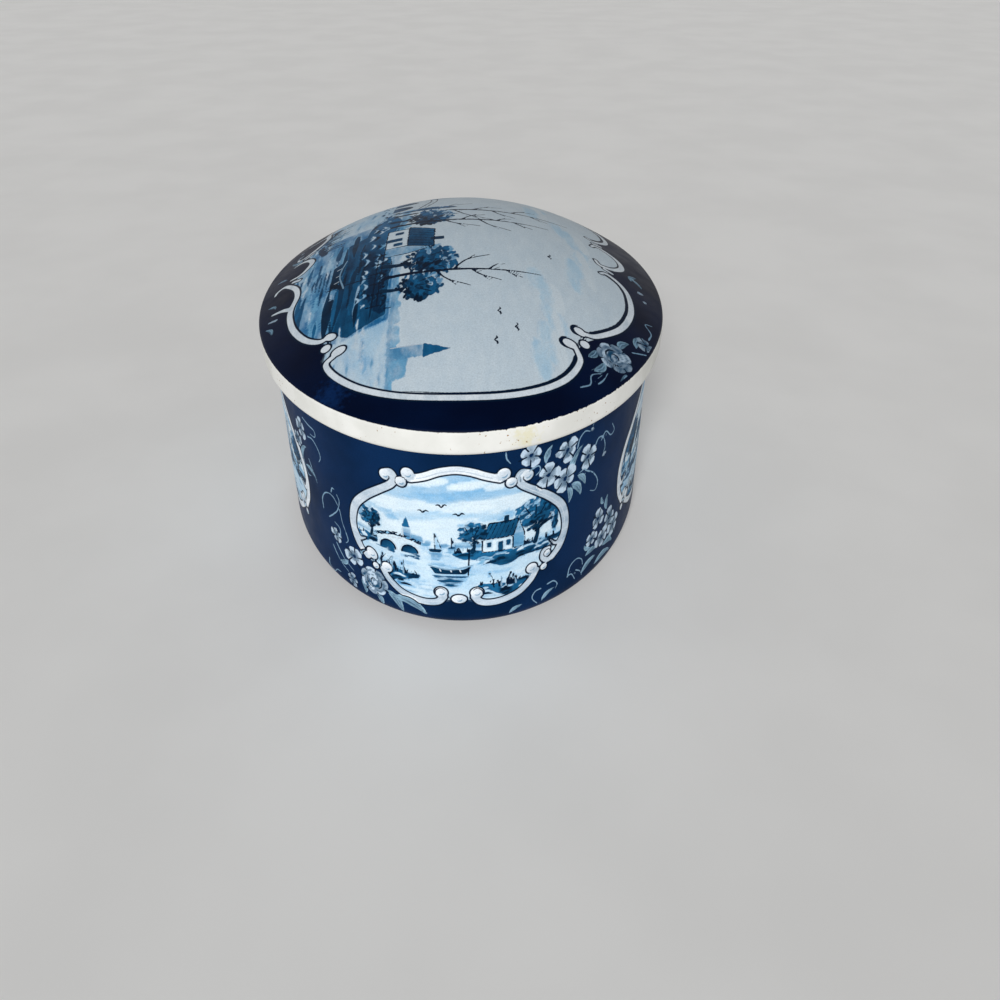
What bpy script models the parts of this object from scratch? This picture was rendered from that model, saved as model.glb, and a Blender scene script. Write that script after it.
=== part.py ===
"""Oval slip-lid tin in tinplate, modelled sheet by sheet.

Three pressed sheets make the tin. The body wall is one strip wrapped round the oval: its ends hook
together in a flattened lock seam, its mouth is curled inward into a false wire, and its foot is rolled
under and turned up into a lip. The base plate drops in from above and its rim hooks over that lip. The
lid is one drawn sheet with a domed top, a short upright skirt and a curled bottom edge, and it rests on
the curled mouth.

Units are metres and +Z is up. The origin is the centre of the foot. The long axis lies along Y, and the side
seam is at the +Y end, away from the viewer.
"""

import math

import bmesh
import bpy
import numpy as np

# Body wall, outside sizes
BODY_LENGTH = 0.154
BODY_WIDTH = 0.107
BODY_HEIGHT = 0.0619
BODY_SHEET = 0.0003
MOUTH_CURL_DIAMETER = 0.0022
FOOT_RADIUS = 0.005
FOOT_FLANGE_WIDTH = 0.002
LIP_BEND_RADIUS = 0.0003
LIP_HEIGHT = 0.0026

# Lock seam of the body wall
SEAM_WIDTH = 0.0036
SEAM_LAYER_GAP = 0.0001
SEAM_JOG_RADIUS = 0.00025
SEAM_HOOK_SHORTFALL = 0.0003
SEAM_LEAD_IN = 0.001
SEAM_END_NOTCH = 0.0003
SEAM_END_MARGIN = 0.0006

# Base plate
BASE_SHEET = 0.0003
BASE_RECESS = 0.0012
BASE_BEND_RADIUS = 0.0004
BASE_MARGIN_WIDTH = 0.0045
BASE_BEAD_RISE = 0.0008
BASE_BEAD_RADIUS = 0.0012

# Lid
LID_SHEET = 0.0003
LID_SKIRT_HEIGHT = 0.0064
LID_EDGE_RADIUS = 0.0015
LID_CURL_DIAMETER = 0.0026
DOME_RISE = 0.0193

# Clearances between the sheets
LID_SIDE_CLEARANCE = 0.0004
LID_SEAT_GAP = 0.0003
CLINCH_GAP = 0.0003

# Turn of the mouth and lid curls, in degrees
CURL_TURN = 290

# Facets
COLUMNS = 60
CURL_STEPS = 9
FOOT_STEPS = 4
SMALL_BEND_STEPS = 3
U_TURN_STEPS = 6
EDGE_STEPS = 4
DOME_RING_SHARES = (0.94, 0.82, 0.68, 0.53, 0.36, 0.18)
SHARP_ANGLE = math.radians(35)

# Finish: sRGB colours with roughness and metallic
LID_PRINT = ("Lid print over tinplate", "0B1230", 0.32, 0.0)
SKIRT_ENAMEL = ("White skirt enamel", "E9E7E0", 0.38, 0.0)
BODY_PRINT = ("Body print over tinplate", "14294C", 0.34, 0.0)
BARE_TINPLATE = ("Bare tinplate", "B9B7AE", 0.30, 1.0)


def linear_colour(hex_code):
    """sRGB hex to linear RGBA."""
    channels = [int(hex_code[i : i + 2], 16) / 255 for i in (0, 2, 4)]
    linear = [c / 12.92 if c <= 0.04045 else ((c + 0.055) / 1.055) ** 2.4 for c in channels]
    return (*linear, 1.0)


def make_material(name, hex_code, roughness, metallic):
    material = bpy.data.materials.new(name)
    material.use_nodes = True
    shader = material.node_tree.nodes["Principled BSDF"]
    shader.inputs["Base Color"].default_value = linear_colour(hex_code)
    shader.inputs["Roughness"].default_value = roughness
    shader.inputs["Metallic"].default_value = metallic
    material.diffuse_color = linear_colour(hex_code)
    return material


def oval_points(angles, out):
    """Points on the body's oval, moved outward along its normal by out, which may differ by angle."""
    half_width, half_length = BODY_WIDTH / 2, BODY_LENGTH / 2
    along = np.stack([half_width * np.sin(angles), half_length * np.cos(angles)], axis=-1)
    normal = np.stack([half_length * np.sin(angles), half_width * np.cos(angles)], axis=-1)
    normal /= np.linalg.norm(normal, axis=-1, keepdims=True)
    return along + normal * np.broadcast_to(out, angles.shape)[..., None]


def oval_ring(angles, out, height):
    """One closed ring of points round the oval."""
    heights = np.broadcast_to(height, angles.shape)[..., None]
    return np.concatenate([oval_points(angles, out), heights], axis=-1)


def even_angles():
    return np.arange(COLUMNS) * (math.tau / COLUMNS)


class BentSheet:
    """The centreline of a folded sheet seen edge-on, drawn as it is bent: run straight, turn on a radius.

    Each point keeps the sheet's left-hand normal, so both faces follow from the centreline and the thickness.
    """

    def __init__(self, start, heading, sheet):
        self.sheet = sheet
        self.heading = math.radians(heading)
        self.points = [np.array(start, float)]
        self.normals = [self.left_normal()]

    def left_normal(self):
        return np.array([-math.sin(self.heading), math.cos(self.heading)])

    def run(self, length):
        forward = np.array([math.cos(self.heading), math.sin(self.heading)])
        self.points.append(self.points[-1] + length * forward)
        self.normals.append(self.left_normal())
        return self

    def turn(self, radius, degrees, steps):
        """Turns left for positive degrees and right for negative, on this centreline radius."""
        side = math.copysign(1, degrees)
        centre = self.points[-1] + side * radius * self.left_normal()
        for _ in range(steps):
            self.heading += math.radians(degrees) / steps
            self.points.append(centre - side * radius * self.left_normal())
            self.normals.append(self.left_normal())
        return self

    def faces(self):
        """The left-hand and the right-hand face as two lists of points."""
        offset = self.sheet / 2
        left = [point + offset * normal for point, normal in zip(self.points, self.normals)]
        right = [point - offset * normal for point, normal in zip(self.points, self.normals)]
        return left, right


def ring_quads(first_ring, second_ring, columns):
    """Quads between two rings, the closing quad last."""
    return [
        (
            first_ring * columns + j,
            first_ring * columns + (j + 1) % columns,
            second_ring * columns + (j + 1) % columns,
            second_ring * columns + j,
        )
        for j in range(columns)
    ]


def make_object(name, vertices, faces, materials, location=(0, 0, 0), slots=None):
    """A closed, smooth-shaded mesh object with its faces turned outward."""
    mesh = bpy.data.meshes.new(name)
    mesh.from_pydata([tuple(v) for v in np.asarray(vertices) - np.array(location)], [], faces)
    for finish in materials:
        mesh.materials.append(make_material(*finish))
    if slots is not None:
        mesh.polygons.foreach_set("material_index", slots)
    shape = bmesh.new()
    shape.from_mesh(mesh)
    bmesh.ops.recalc_face_normals(shape, faces=shape.faces[:])
    shape.to_mesh(mesh)
    shape.free()
    mesh.shade_smooth()
    mesh.set_sharp_from_angle(angle=SHARP_ANGLE)
    piece = bpy.data.objects.new(name, mesh)
    piece.location = location
    bpy.context.collection.objects.link(piece)
    return piece


def lip_centre():
    """How far inside the body's outer face the middle of the turned-up lip lies."""
    return FOOT_RADIUS + FOOT_FLANGE_WIDTH + LIP_BEND_RADIUS + BODY_SHEET / 2


def seam_pitch():
    """Distance between two neighbouring layers of the lock seam."""
    return BODY_SHEET + SEAM_LAYER_GAP


def seam_half_span():
    """Half the width of wall that the seam's hooks replace."""
    return SEAM_WIDTH / 2 + SEAM_LAYER_GAP + BODY_SHEET / 2 + SEAM_JOG_RADIUS + SEAM_LEAD_IN


def body_section():
    """The wall's section from lip to mouth curl, with the place of its six points up the straight wall."""
    lip_bend = LIP_BEND_RADIUS + BODY_SHEET / 2
    foot_bend = FOOT_RADIUS - BODY_SHEET / 2
    curl_radius = (MOUTH_CURL_DIAMETER - BODY_SHEET) / 2
    curl_start = BODY_HEIGHT - MOUTH_CURL_DIAMETER / 2
    wall = curl_start - FOOT_RADIUS
    hook = wall - 2 * (SEAM_END_MARGIN + SEAM_END_NOTCH)
    section = BentSheet((-lip_centre(), LIP_HEIGHT), -90, BODY_SHEET)
    section.run(LIP_HEIGHT - lip_bend - BODY_SHEET / 2)
    section.turn(lip_bend, 90, SMALL_BEND_STEPS)
    section.run(FOOT_FLANGE_WIDTH)
    section.turn(foot_bend, 90, FOOT_STEPS)
    first = len(section.points) - 1
    for length in (SEAM_END_MARGIN, SEAM_END_NOTCH, hook, SEAM_END_NOTCH, SEAM_END_MARGIN):
        section.run(length)
    section.turn(curl_radius, CURL_TURN, CURL_STEPS)
    return section, first


def seam_hooks():
    """The two interlocked ends of the wall, seen from above: x runs along the wall and y outward.

    The -X end lies outermost and folds back under itself. The +X end steps in behind it, runs under both
    layers and folds back out, so that each free edge lies in the other's fold.
    """
    pitch = seam_pitch()
    half_width = SEAM_WIDTH / 2
    straight = SEAM_WIDTH - 2 * pitch - BODY_SHEET
    hook_length = straight - SEAM_HOOK_SHORTFALL
    outer_end = BentSheet((-seam_half_span(), -BODY_SHEET / 2), 0, BODY_SHEET)
    outer_end.run(seam_half_span() + half_width - pitch - BODY_SHEET / 2)
    outer_end.turn(pitch, -180, U_TURN_STEPS)
    outer_end.run(hook_length)
    inner_end = BentSheet((seam_half_span(), -BODY_SHEET / 2), 180, BODY_SHEET)
    inner_end.run(SEAM_LEAD_IN)
    inner_end.turn(SEAM_JOG_RADIUS, 90, SMALL_BEND_STEPS)
    inner_end.run(3 * pitch - 2 * SEAM_JOG_RADIUS)
    inner_end.turn(SEAM_JOG_RADIUS, -90, SMALL_BEND_STEPS)
    inner_end.run(SEAM_LAYER_GAP + BODY_SHEET + straight + pitch - SEAM_JOG_RADIUS)
    inner_end.turn(pitch, -180, U_TURN_STEPS)
    inner_end.run(hook_length)
    return outer_end, inner_end


def hook_strip(path, bottom, top, first_corners, vertices, faces):
    """Stands one seam hook on edge between two heights and joins it to the corners of the wall's end."""
    half_width = BODY_WIDTH / 2
    left, right = path.faces()
    corners = [first_corners]
    for left_point, right_point in zip(left[1:], right[1:]):
        start = len(vertices)
        for along, out in (left_point, right_point):
            spot = oval_points(np.array([along / half_width]), out)[0]
            vertices.extend([(*spot, bottom), (*spot, top)])
        corners.append((start, start + 1, start + 2, start + 3))
    for (lb, lt, rb, rt), (lb2, lt2, rb2, rt2) in zip(corners[:-1], corners[1:]):
        faces.extend([(lb, lb2, lt2, lt), (rb, rt, rt2, rb2), (lb, rb, rb2, lb2), (lt, lt2, rt2, rt)])
    lb, lt, rb, rt = corners[-1]
    faces.append((lb, lt, rt, rb))


def build_body_wall():
    """The wall swept round the oval. Only its mouth and foot cross the seam, and hooks fill the rest."""
    section, first = body_section()
    inner, outer = section.faces()
    gap = seam_half_span() / (BODY_WIDTH / 2)
    angles = np.linspace(gap, math.tau - gap, COLUMNS)
    loop = outer + inner[::-1]
    vertices = [tuple(v) for out, height in loop for v in oval_ring(angles, out, height)]
    count = len(section.points)
    cut_below, hook_bottom, hook_top, cut_above = range(first + 1, first + 5)
    faces = []
    for i in range(len(loop)):
        quads = ring_quads(i, (i + 1) % len(loop), COLUMNS)
        mirrored = 2 * count - 2 - i
        in_window = cut_below <= i < cut_above or cut_below <= mirrored < cut_above
        faces.extend(quads[:-1] if in_window else quads)

    def corner(face, level, column):
        ring = level if face == "outer" else 2 * count - 1 - level
        return ring * COLUMNS + column

    last = COLUMNS - 1
    for level in (cut_below, cut_above):
        faces.append(
            (
                corner("outer", level, last),
                corner("outer", level, 0),
                corner("inner", level, 0),
                corner("inner", level, last),
            )
        )
    for column in (0, last):
        for low, high in ((cut_below, hook_bottom), (hook_top, cut_above)):
            faces.append(
                (
                    corner("outer", low, column),
                    corner("outer", high, column),
                    corner("inner", high, column),
                    corner("inner", low, column),
                )
            )
    bottom = section.points[hook_bottom][1]
    top = section.points[hook_top][1]
    outer_end, inner_end = seam_hooks()
    for path, column, left_face, right_face in (
        (outer_end, last, "outer", "inner"),
        (inner_end, 0, "inner", "outer"),
    ):
        first_corners = (
            corner(left_face, hook_bottom, column),
            corner(left_face, hook_top, column),
            corner(right_face, hook_bottom, column),
            corner(right_face, hook_top, column),
        )
        hook_strip(path, bottom, top, first_corners, vertices, faces)
    return make_object("body_wall", vertices, faces, [BODY_PRINT])


def disc_mesh(upper_rings, lower_rings, upper_centre, lower_centre):
    """A sheet closed over its middle: rings run from the centre out on the top face and back on the other."""
    rings = list(upper_rings) + list(lower_rings)
    columns = len(rings[0])
    vertices = [tuple(v) for ring in rings for v in ring]
    faces = []
    for i in range(len(rings) - 1):
        faces.extend(ring_quads(i, i + 1, columns))
    for centre, ring in ((upper_centre, 0), (lower_centre, len(rings) - 1)):
        middle = len(vertices)
        vertices.append(centre)
        faces.extend(
            (middle, ring * columns + j, ring * columns + (j + 1) % columns) for j in range(columns)
        )
    return vertices, faces


def base_section():
    """From the free edge outside the lip, over the lip, down inside it and in across the raised panel."""
    hook_radius = (2 * CLINCH_GAP + BODY_SHEET + BASE_SHEET) / 2
    panel_bend = BASE_BEND_RADIUS + BASE_SHEET / 2
    panel_height = BASE_RECESS + BASE_SHEET / 2
    free_edge = BODY_SHEET + CLINCH_GAP
    bead_turn = math.degrees(math.acos(1 - BASE_BEAD_RISE / (2 * BASE_BEAD_RADIUS)))
    section = BentSheet((hook_radius - lip_centre(), free_edge), 90, BASE_SHEET)
    section.run(LIP_HEIGHT - free_edge)
    section.turn(hook_radius, 180, U_TURN_STEPS)
    section.run(LIP_HEIGHT - panel_height - panel_bend)
    section.turn(panel_bend, -90, SMALL_BEND_STEPS)
    section.run(BASE_MARGIN_WIDTH)
    section.turn(BASE_BEAD_RADIUS, -bead_turn, SMALL_BEND_STEPS)
    section.turn(BASE_BEAD_RADIUS, bead_turn, SMALL_BEND_STEPS)
    return section


def build_base_plate():
    """The recessed bottom of the tin, clinched over the lip of the body wall."""
    section = base_section()
    under, upper = section.faces()
    angles = even_angles()
    upper_rings = [oval_ring(angles, out, height) for out, height in upper[::-1]]
    under_rings = [oval_ring(angles, out, height) for out, height in under]
    upper_centre = (0, 0, upper[-1][1])
    under_centre = (0, 0, under[-1][1])
    vertices, faces = disc_mesh(upper_rings, under_rings, upper_centre, under_centre)
    return make_object("base_plate", vertices, faces, [BARE_TINPLATE])


def lid_reach():
    """How far the lid's outer face stands out from the body's."""
    return LID_SIDE_CLEARANCE + LID_CURL_DIAMETER


def dome_falloff(spots):
    """Square of the share of the way from the lid's middle to its edge, 1 all round the edge."""
    half_width = BODY_WIDTH / 2 + lid_reach()
    half_length = BODY_LENGTH / 2 + lid_reach()
    return (spots[..., 0] / half_width) ** 2 + (spots[..., 1] / half_length) ** 2


def dome_slope(spots):
    """How steeply the dome falls at each spot."""
    half_width = BODY_WIDTH / 2 + lid_reach()
    half_length = BODY_LENGTH / 2 + lid_reach()
    return 2 * DOME_RISE * np.hypot(spots[..., 0] / half_width**2, spots[..., 1] / half_length**2)


def dome_height(spots):
    """Top face of the dome above the lid's edge: a parabola over oval contours."""
    return DOME_RISE * (1 - dome_falloff(spots))


def dome_underside(spots):
    """Under face of the dome above the lid's edge, one sheet below the top face."""
    return dome_height(spots) - LID_SHEET * np.hypot(1, dome_slope(spots))


def lid_rest_height():
    """Height of the lid's edge when its underside comes down on the mouth curl, less the seat gap."""
    section, _ = body_section()
    _, outer = section.faces()
    angles = even_angles()
    lift = [
        np.max(height - dome_underside(oval_points(angles, out))) for out, height in outer[-CURL_STEPS - 1 :]
    ]
    return max(lift) + LID_SEAT_GAP


def lid_edge_rings(angles, edge_height, radius):
    """Rings round the corner from the dome down to the skirt, for the face that turns on this radius."""
    reach = lid_reach()
    slope = dome_slope(oval_points(angles, reach))
    lean = np.arctan(slope)
    centre_height = edge_height + slope * LID_EDGE_RADIUS - LID_EDGE_RADIUS / np.cos(lean)
    rings = []
    for step in range(EDGE_STEPS + 1):
        rise = (math.pi / 2 - lean) * (1 - step / EDGE_STEPS)
        out = reach - LID_EDGE_RADIUS + radius * np.cos(rise)
        rings.append(oval_ring(angles, out, centre_height + radius * np.sin(rise)))
    return rings


def build_lid():
    """One drawn sheet: dome, rounded edge, upright skirt and inward curl."""
    edge_height = lid_rest_height()
    skirt_bottom = edge_height - LID_SKIRT_HEIGHT
    curl_radius = (LID_CURL_DIAMETER - LID_SHEET) / 2
    angles = even_angles()
    top_edge = lid_edge_rings(angles, edge_height, LID_EDGE_RADIUS)
    under_edge = lid_edge_rings(angles, edge_height, LID_EDGE_RADIUS - LID_SHEET)
    rim = top_edge[0][:, :2]
    top_dome, under_dome = [], []
    for share in DOME_RING_SHARES:
        spots = rim * share
        top_dome.append(np.column_stack([spots, edge_height + dome_height(spots)]))
        under_dome.append(np.column_stack([spots, edge_height + dome_underside(spots)]))
    curl = BentSheet((lid_reach() - LID_SHEET / 2, skirt_bottom + LID_CURL_DIAMETER / 2), -90, LID_SHEET)
    curl.turn(curl_radius, -CURL_TURN, CURL_STEPS)
    outer, inner = curl.faces()
    outer_curl = [oval_ring(angles, out, height) for out, height in outer]
    inner_curl = [oval_ring(angles, out, height) for out, height in inner]
    upper_rings = top_dome[::-1] + top_edge + outer_curl
    under_rings = inner_curl[::-1] + under_edge[::-1] + under_dome
    middle = np.zeros(2)
    upper_centre = (0, 0, edge_height + float(dome_height(middle)))
    under_centre = (0, 0, edge_height + float(dome_underside(middle)))
    vertices, faces = disc_mesh(upper_rings, under_rings, upper_centre, under_centre)
    skirt_first = (len(top_dome) + EDGE_STEPS - 1) * COLUMNS
    skirt_last = (len(upper_rings) - 1) * COLUMNS
    slots = [int(skirt_first <= index < skirt_last) for index in range(len(faces))]
    location = (0, 0, edge_height)
    return make_object("lid", vertices, faces, [LID_PRINT, SKIRT_ENAMEL], location, slots)


def main():
    for leftover in list(bpy.data.objects):
        bpy.data.objects.remove(leftover)
    build_body_wall()
    build_base_plate()
    build_lid()


main()
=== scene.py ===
"""Looks of the oval slip-lid tin: lithographed tinplate outside, bare tinplate inside.

Three pressed sheets show: the lid, the body wall and the base plate. Each is one closed surface worked out
from its bending section and the tin's oval. The printed decoration is drawn in millimetres as strokes,
ovals, outlines and pen lines. The mesh keeps it as signed distances, one attribute for each ink and two for
each pen, and the print's material turns these into ink with clean edges.
"""

import math

import bpy
import numpy as np
from mathutils import Matrix, Vector


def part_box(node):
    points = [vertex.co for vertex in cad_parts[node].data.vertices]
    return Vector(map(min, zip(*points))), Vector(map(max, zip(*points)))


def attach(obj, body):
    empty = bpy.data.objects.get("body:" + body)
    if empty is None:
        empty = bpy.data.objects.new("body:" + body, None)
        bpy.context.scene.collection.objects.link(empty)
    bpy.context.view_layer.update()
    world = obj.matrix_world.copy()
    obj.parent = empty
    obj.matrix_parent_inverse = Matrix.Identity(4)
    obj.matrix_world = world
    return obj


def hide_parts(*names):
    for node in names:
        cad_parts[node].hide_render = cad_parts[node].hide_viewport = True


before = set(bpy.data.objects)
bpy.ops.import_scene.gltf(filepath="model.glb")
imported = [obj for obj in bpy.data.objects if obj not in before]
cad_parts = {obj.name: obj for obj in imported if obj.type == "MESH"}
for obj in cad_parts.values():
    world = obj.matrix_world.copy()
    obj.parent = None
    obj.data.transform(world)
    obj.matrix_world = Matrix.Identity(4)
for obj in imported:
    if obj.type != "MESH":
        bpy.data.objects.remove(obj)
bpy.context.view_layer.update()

MM = 0.001

# Sheets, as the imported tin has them
SHEET = 0.3 * MM
LID_OVERHANG = 3.0 * MM
SKIRT_HEIGHT = 6.4 * MM
LID_EDGE_RADIUS = 1.5 * MM
EDGE_STEPS = 7
LID_CURL = 2.6 * MM
MOUTH_CURL = 2.2 * MM
CURL_TURN = 290
CURL_STEPS = 16
FOOT_RADIUS = 5.0 * MM
FOOT_STEPS = 10
FOOT_FLANGE = 2.0 * MM
LIP_BEND = 0.45 * MM
LIP_HEIGHT = 2.6 * MM
LIP_REACH = FOOT_RADIUS + FOOT_FLANGE + LIP_BEND
HOOK_RADIUS = 0.6 * MM
HOOK_EDGE = 0.6 * MM
PANEL_BEND = 0.55 * MM
PANEL_HEIGHT = 1.35 * MM
PANEL_MARGIN = 4.5 * MM
BEAD_BEND = 1.2 * MM
BEAD_TURN = 48.2

# Lock seam at the back of the wall: how far its line lies from the back end, and the folded strip that shows
# inside, between two places measured from that line
SEAM_LINE = 1.95 * MM
SEAM_GROOVE_DEPTH = 0.22 * MM
SEAM_STRIP = (-0.25 * MM, 3.75 * MM)
SEAM_STRIP_DEPTH = 1.2 * MM
SEAM_MARGIN = 0.9 * MM

# Grids of the printed faces
FRONT_PITCH = 0.42 * MM
SIDE_PITCH = 0.64 * MM
ROW_PITCH = 0.5 * MM
FRONT_REACH = 58 * MM
COARSE_SHARE = 5
PRINT_UNDER_SKIRT = 2.1 * MM
DOME_CELLS = 270
BASE_COLUMNS = 240

# The drawing's fields, in millimetres: how far an ink's distance counts, and a pen's, the half width where no
# line is, how far a shape's shade and its tone spread past its edge, and the tone of bare ground
DISTANCE_LIMIT = 1.6
PEN_REACH = 0.75
NO_LINE = -4.0
SHADE_REACH = 0.8
TONE_REACH = 0.3
FIRST_TONE = 0.6

# Camera of the photograph: place, yaw towards +X, pitch down and roll in radians, lens for a 36 mm sensor
CAMERA_PLACE = (0.0041, -0.2391, 0.1559)
CAMERA_YAW, CAMERA_PITCH, CAMERA_ROLL = 0.0290, 0.6183, 0.0032
CAMERA_LENS = 31.06

lid_low, lid_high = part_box("lid")
wall_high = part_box("body_wall")[1]
HALF_WIDTH = lid_high.x - LID_OVERHANG
HALF_LENGTH = lid_high.y - LID_OVERHANG
MOUTH_TOP = wall_high.z
SKIRT_BOTTOM = lid_low.z
LID_EDGE = SKIRT_BOTTOM + SKIRT_HEIGHT
DOME_RISE = lid_high.z - LID_EDGE


def linear(hex_code):
    """sRGB hex to linear RGBA."""
    channels = [int(hex_code[i : i + 2], 16) / 255 for i in (0, 2, 4)]
    return (*[c / 12.92 if c <= 0.04045 else ((c + 0.055) / 1.055) ** 2.4 for c in channels], 1.0)


# The oval and the folded sections


def oval(turn, out=0.0):
    """Plan points of the tin's oval, moved outward along its normal.

    x is half the width times the sine of turn, and y is minus half the length times its cosine, so turn 0 is
    the front end and turn grows towards +X.
    """
    x, y = HALF_WIDTH * np.sin(turn), -HALF_LENGTH * np.cos(turn)
    nx, ny = HALF_LENGTH * np.sin(turn), -HALF_WIDTH * np.cos(turn)
    length = np.hypot(nx, ny)
    return x + out * nx / length, y + out * ny / length


def arc_table():
    """Length along the oval from the front end for every turn from minus to plus half a round."""
    turn = np.linspace(-math.pi, math.pi, 8001)
    x, y = oval(turn)
    length = np.concatenate([[0], np.cumsum(np.hypot(np.diff(x), np.diff(y)))])
    return turn, length - length[-1] / 2


ARC_TURNS, ARC_LENGTHS = arc_table()
HALF_ROUND = ARC_LENGTHS[-1]


def turn_at(length):
    """Turn at a length along the oval, for any number of rounds."""
    wrapped = (np.asarray(length) + HALF_ROUND) % (2 * HALF_ROUND) - HALF_ROUND
    return np.interp(wrapped, ARC_LENGTHS, ARC_TURNS)


def bent_section(start, heading, moves):
    """Left and right face of a folded sheet seen edge-on.

    The centreline runs straight or turns on a radius, as a sheet is bent, and each face lies half a sheet off
    it along the normal. A move is (length,) or (radius, degrees, steps), with left turns positive.
    """
    point, angle = np.array(start, float), math.radians(heading)
    points, angles = [point], [angle]
    for move in moves:
        if len(move) == 1:
            point = point + move[0] * np.array([math.cos(angle), math.sin(angle)])
            points.append(point)
            angles.append(angle)
            continue
        radius, degrees, steps = move
        side = math.copysign(1, degrees)
        centre = point + side * radius * np.array([-math.sin(angle), math.cos(angle)])
        for _ in range(steps):
            angle += math.radians(degrees) / steps
            point = centre - side * radius * np.array([-math.sin(angle), math.cos(angle)])
            points.append(point)
            angles.append(angle)
    points, angles = np.array(points), np.array(angles)
    normals = np.column_stack([-np.sin(angles), np.cos(angles)])
    return points + SHEET / 2 * normals, points - SHEET / 2 * normals


def rings(turns, section):
    """Points of a section swept round the oval: one ring for each (out, height) of the section."""
    x, y = oval(turns[None, :], section[:, 0][:, None])
    z = np.broadcast_to(section[:, 1][:, None], x.shape)
    return np.stack([x, y, z], axis=-1)


# Meshes


class Skin:
    """Collects the points and faces of one closed sheet."""

    def __init__(self):
        self.points, self.faces, self.slots, self.count = [], [], [], 0

    def add(self, points):
        """Adds points and returns their numbers in the shape of the given array."""
        shape = points.shape[:-1]
        numbers = np.arange(self.count, self.count + int(np.prod(shape))).reshape(shape)
        self.points.append(points.reshape(-1, 3))
        self.count += numbers.size
        return numbers

    def quads(self, grid, slot=0, closed=True, turned=False):
        """Faces between neighbouring rows of point numbers. Turned faces look the other way."""
        ahead = np.roll(grid, -1, axis=1) if closed else grid[:, 1:]
        here = grid if closed else grid[:, :-1]
        cells = np.stack([here[:-1], ahead[:-1], ahead[1:], here[1:]], axis=-1).reshape(-1, 4)
        self.faces.extend((cells[:, ::-1] if turned else cells).tolist())
        self.slots.extend([slot] * len(cells))

    def joint(self, fine, coarse, kept, turned=False):
        """Faces between a fine ring and a coarse one, whose points face the kept points of the fine ring."""
        count = len(coarse)
        for i in range(count):
            first, last = kept[i], kept[(i + 1) % count]
            if last <= first:
                last += len(fine)
            run = [int(fine[k % len(fine)]) for k in range(first, last + 1)]
            face = run + [int(coarse[(i + 1) % count]), int(coarse[i])]
            self.faces.append(face[::-1] if turned else face)
            self.slots.append(0)

    def cap(self, ring, centre, slot=0, turned=False):
        """A fan of faces from a ring to its centre."""
        middle = int(self.add(np.array([centre], float))[0])
        for a, b in zip(ring.tolist(), np.roll(ring, -1).tolist()):
            self.faces.append([b, a, middle] if turned else [a, b, middle])
            self.slots.append(slot)

    def build(self, name, materials, drawn=None):
        """The mesh object. A drawn field's values go to its first points, and its other value to the rest."""
        mesh = bpy.data.meshes.new(name)
        mesh.from_pydata(np.concatenate(self.points).tolist(), [], self.faces)
        for material in materials:
            mesh.materials.append(material)
        mesh.polygons.foreach_set("material_index", self.slots)
        mesh.polygons.foreach_set("use_smooth", [True] * len(self.faces))
        for label, (values, elsewhere) in (drawn or {}).items():
            whole = np.full(self.count, elsewhere, np.float32)
            whole[: values.size] = values
            mesh.attributes.new(label, "FLOAT", "POINT").data.foreach_set("value", whole)
        mesh.validate()
        mesh.update()
        piece = bpy.data.objects.new(name, mesh)
        bpy.context.scene.collection.objects.link(piece)
        return piece


# Drawing the print

# Way that the painted light comes from, across and up
LIT_SIDE = (-0.6, 0.8)


def smooth_path(points, steps=6, closed=False):
    """A curve through the points: uniform Catmull-Rom, which also carries further columns, such as widths."""
    p = np.array(points, float)
    if closed:
        p = np.concatenate([p[-1:], p, p[:2]])
    else:
        p = np.concatenate([2 * p[:1] - p[1:2], p, 2 * p[-1:] - p[-2:-1]])
    t = (np.arange(steps) / steps)[None, :, None]
    a, b, c, d = (p[i : len(p) - 3 + i, None] for i in range(4))
    curve = 0.5 * (2 * b + (c - a) * t + (2 * a - 5 * b + 4 * c - d) * t**2 + (3 * b - 3 * c + d - a) * t**3)
    curve = curve.reshape(-1, p.shape[1])
    return curve if closed else np.concatenate([curve, p[-2:-1]])


def shifted(points, side):
    """A path moved sideways, to the left of its run for positive distances."""
    p = np.array(points, float)
    run = np.gradient(p[:, :2], axis=0)
    run /= np.maximum(np.linalg.norm(run, axis=1, keepdims=True), 1e-9)
    p[:, :2] += side * np.column_stack([-run[:, 1], run[:, 0]])
    return p


def around(centre, radius, angle):
    """A point on a circle."""
    return centre[0] + radius * math.cos(angle), centre[1] + radius * math.sin(angle)


def lit(centre, reach, dark=0.1, light=0.9):
    """Tone that rises across a form towards the side that the light comes from."""

    def tone(x, y):
        share = 0.5 + 0.5 * ((x - centre[0]) * LIT_SIDE[0] + (y - centre[1]) * LIT_SIDE[1]) / reach
        return dark + (light - dark) * np.clip(share, 0, 1)

    return tone


def rimmed(centre, reach, throat, rim):
    """Tone that rises from a flower's throat to its rim."""

    def tone(x, y):
        share = np.clip(np.hypot(x - centre[0], y - centre[1]) / reach, 0, 1)
        return throat + (rim - throat) * share**0.8

    return tone


INK_ORDER = ("paper", "sky", "blue", "deep", "ink", "leaf", "petal", "white")
PICTURE_INKS = INK_ORDER[:5]
PENS = ("dark", "grey", "pale")


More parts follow.
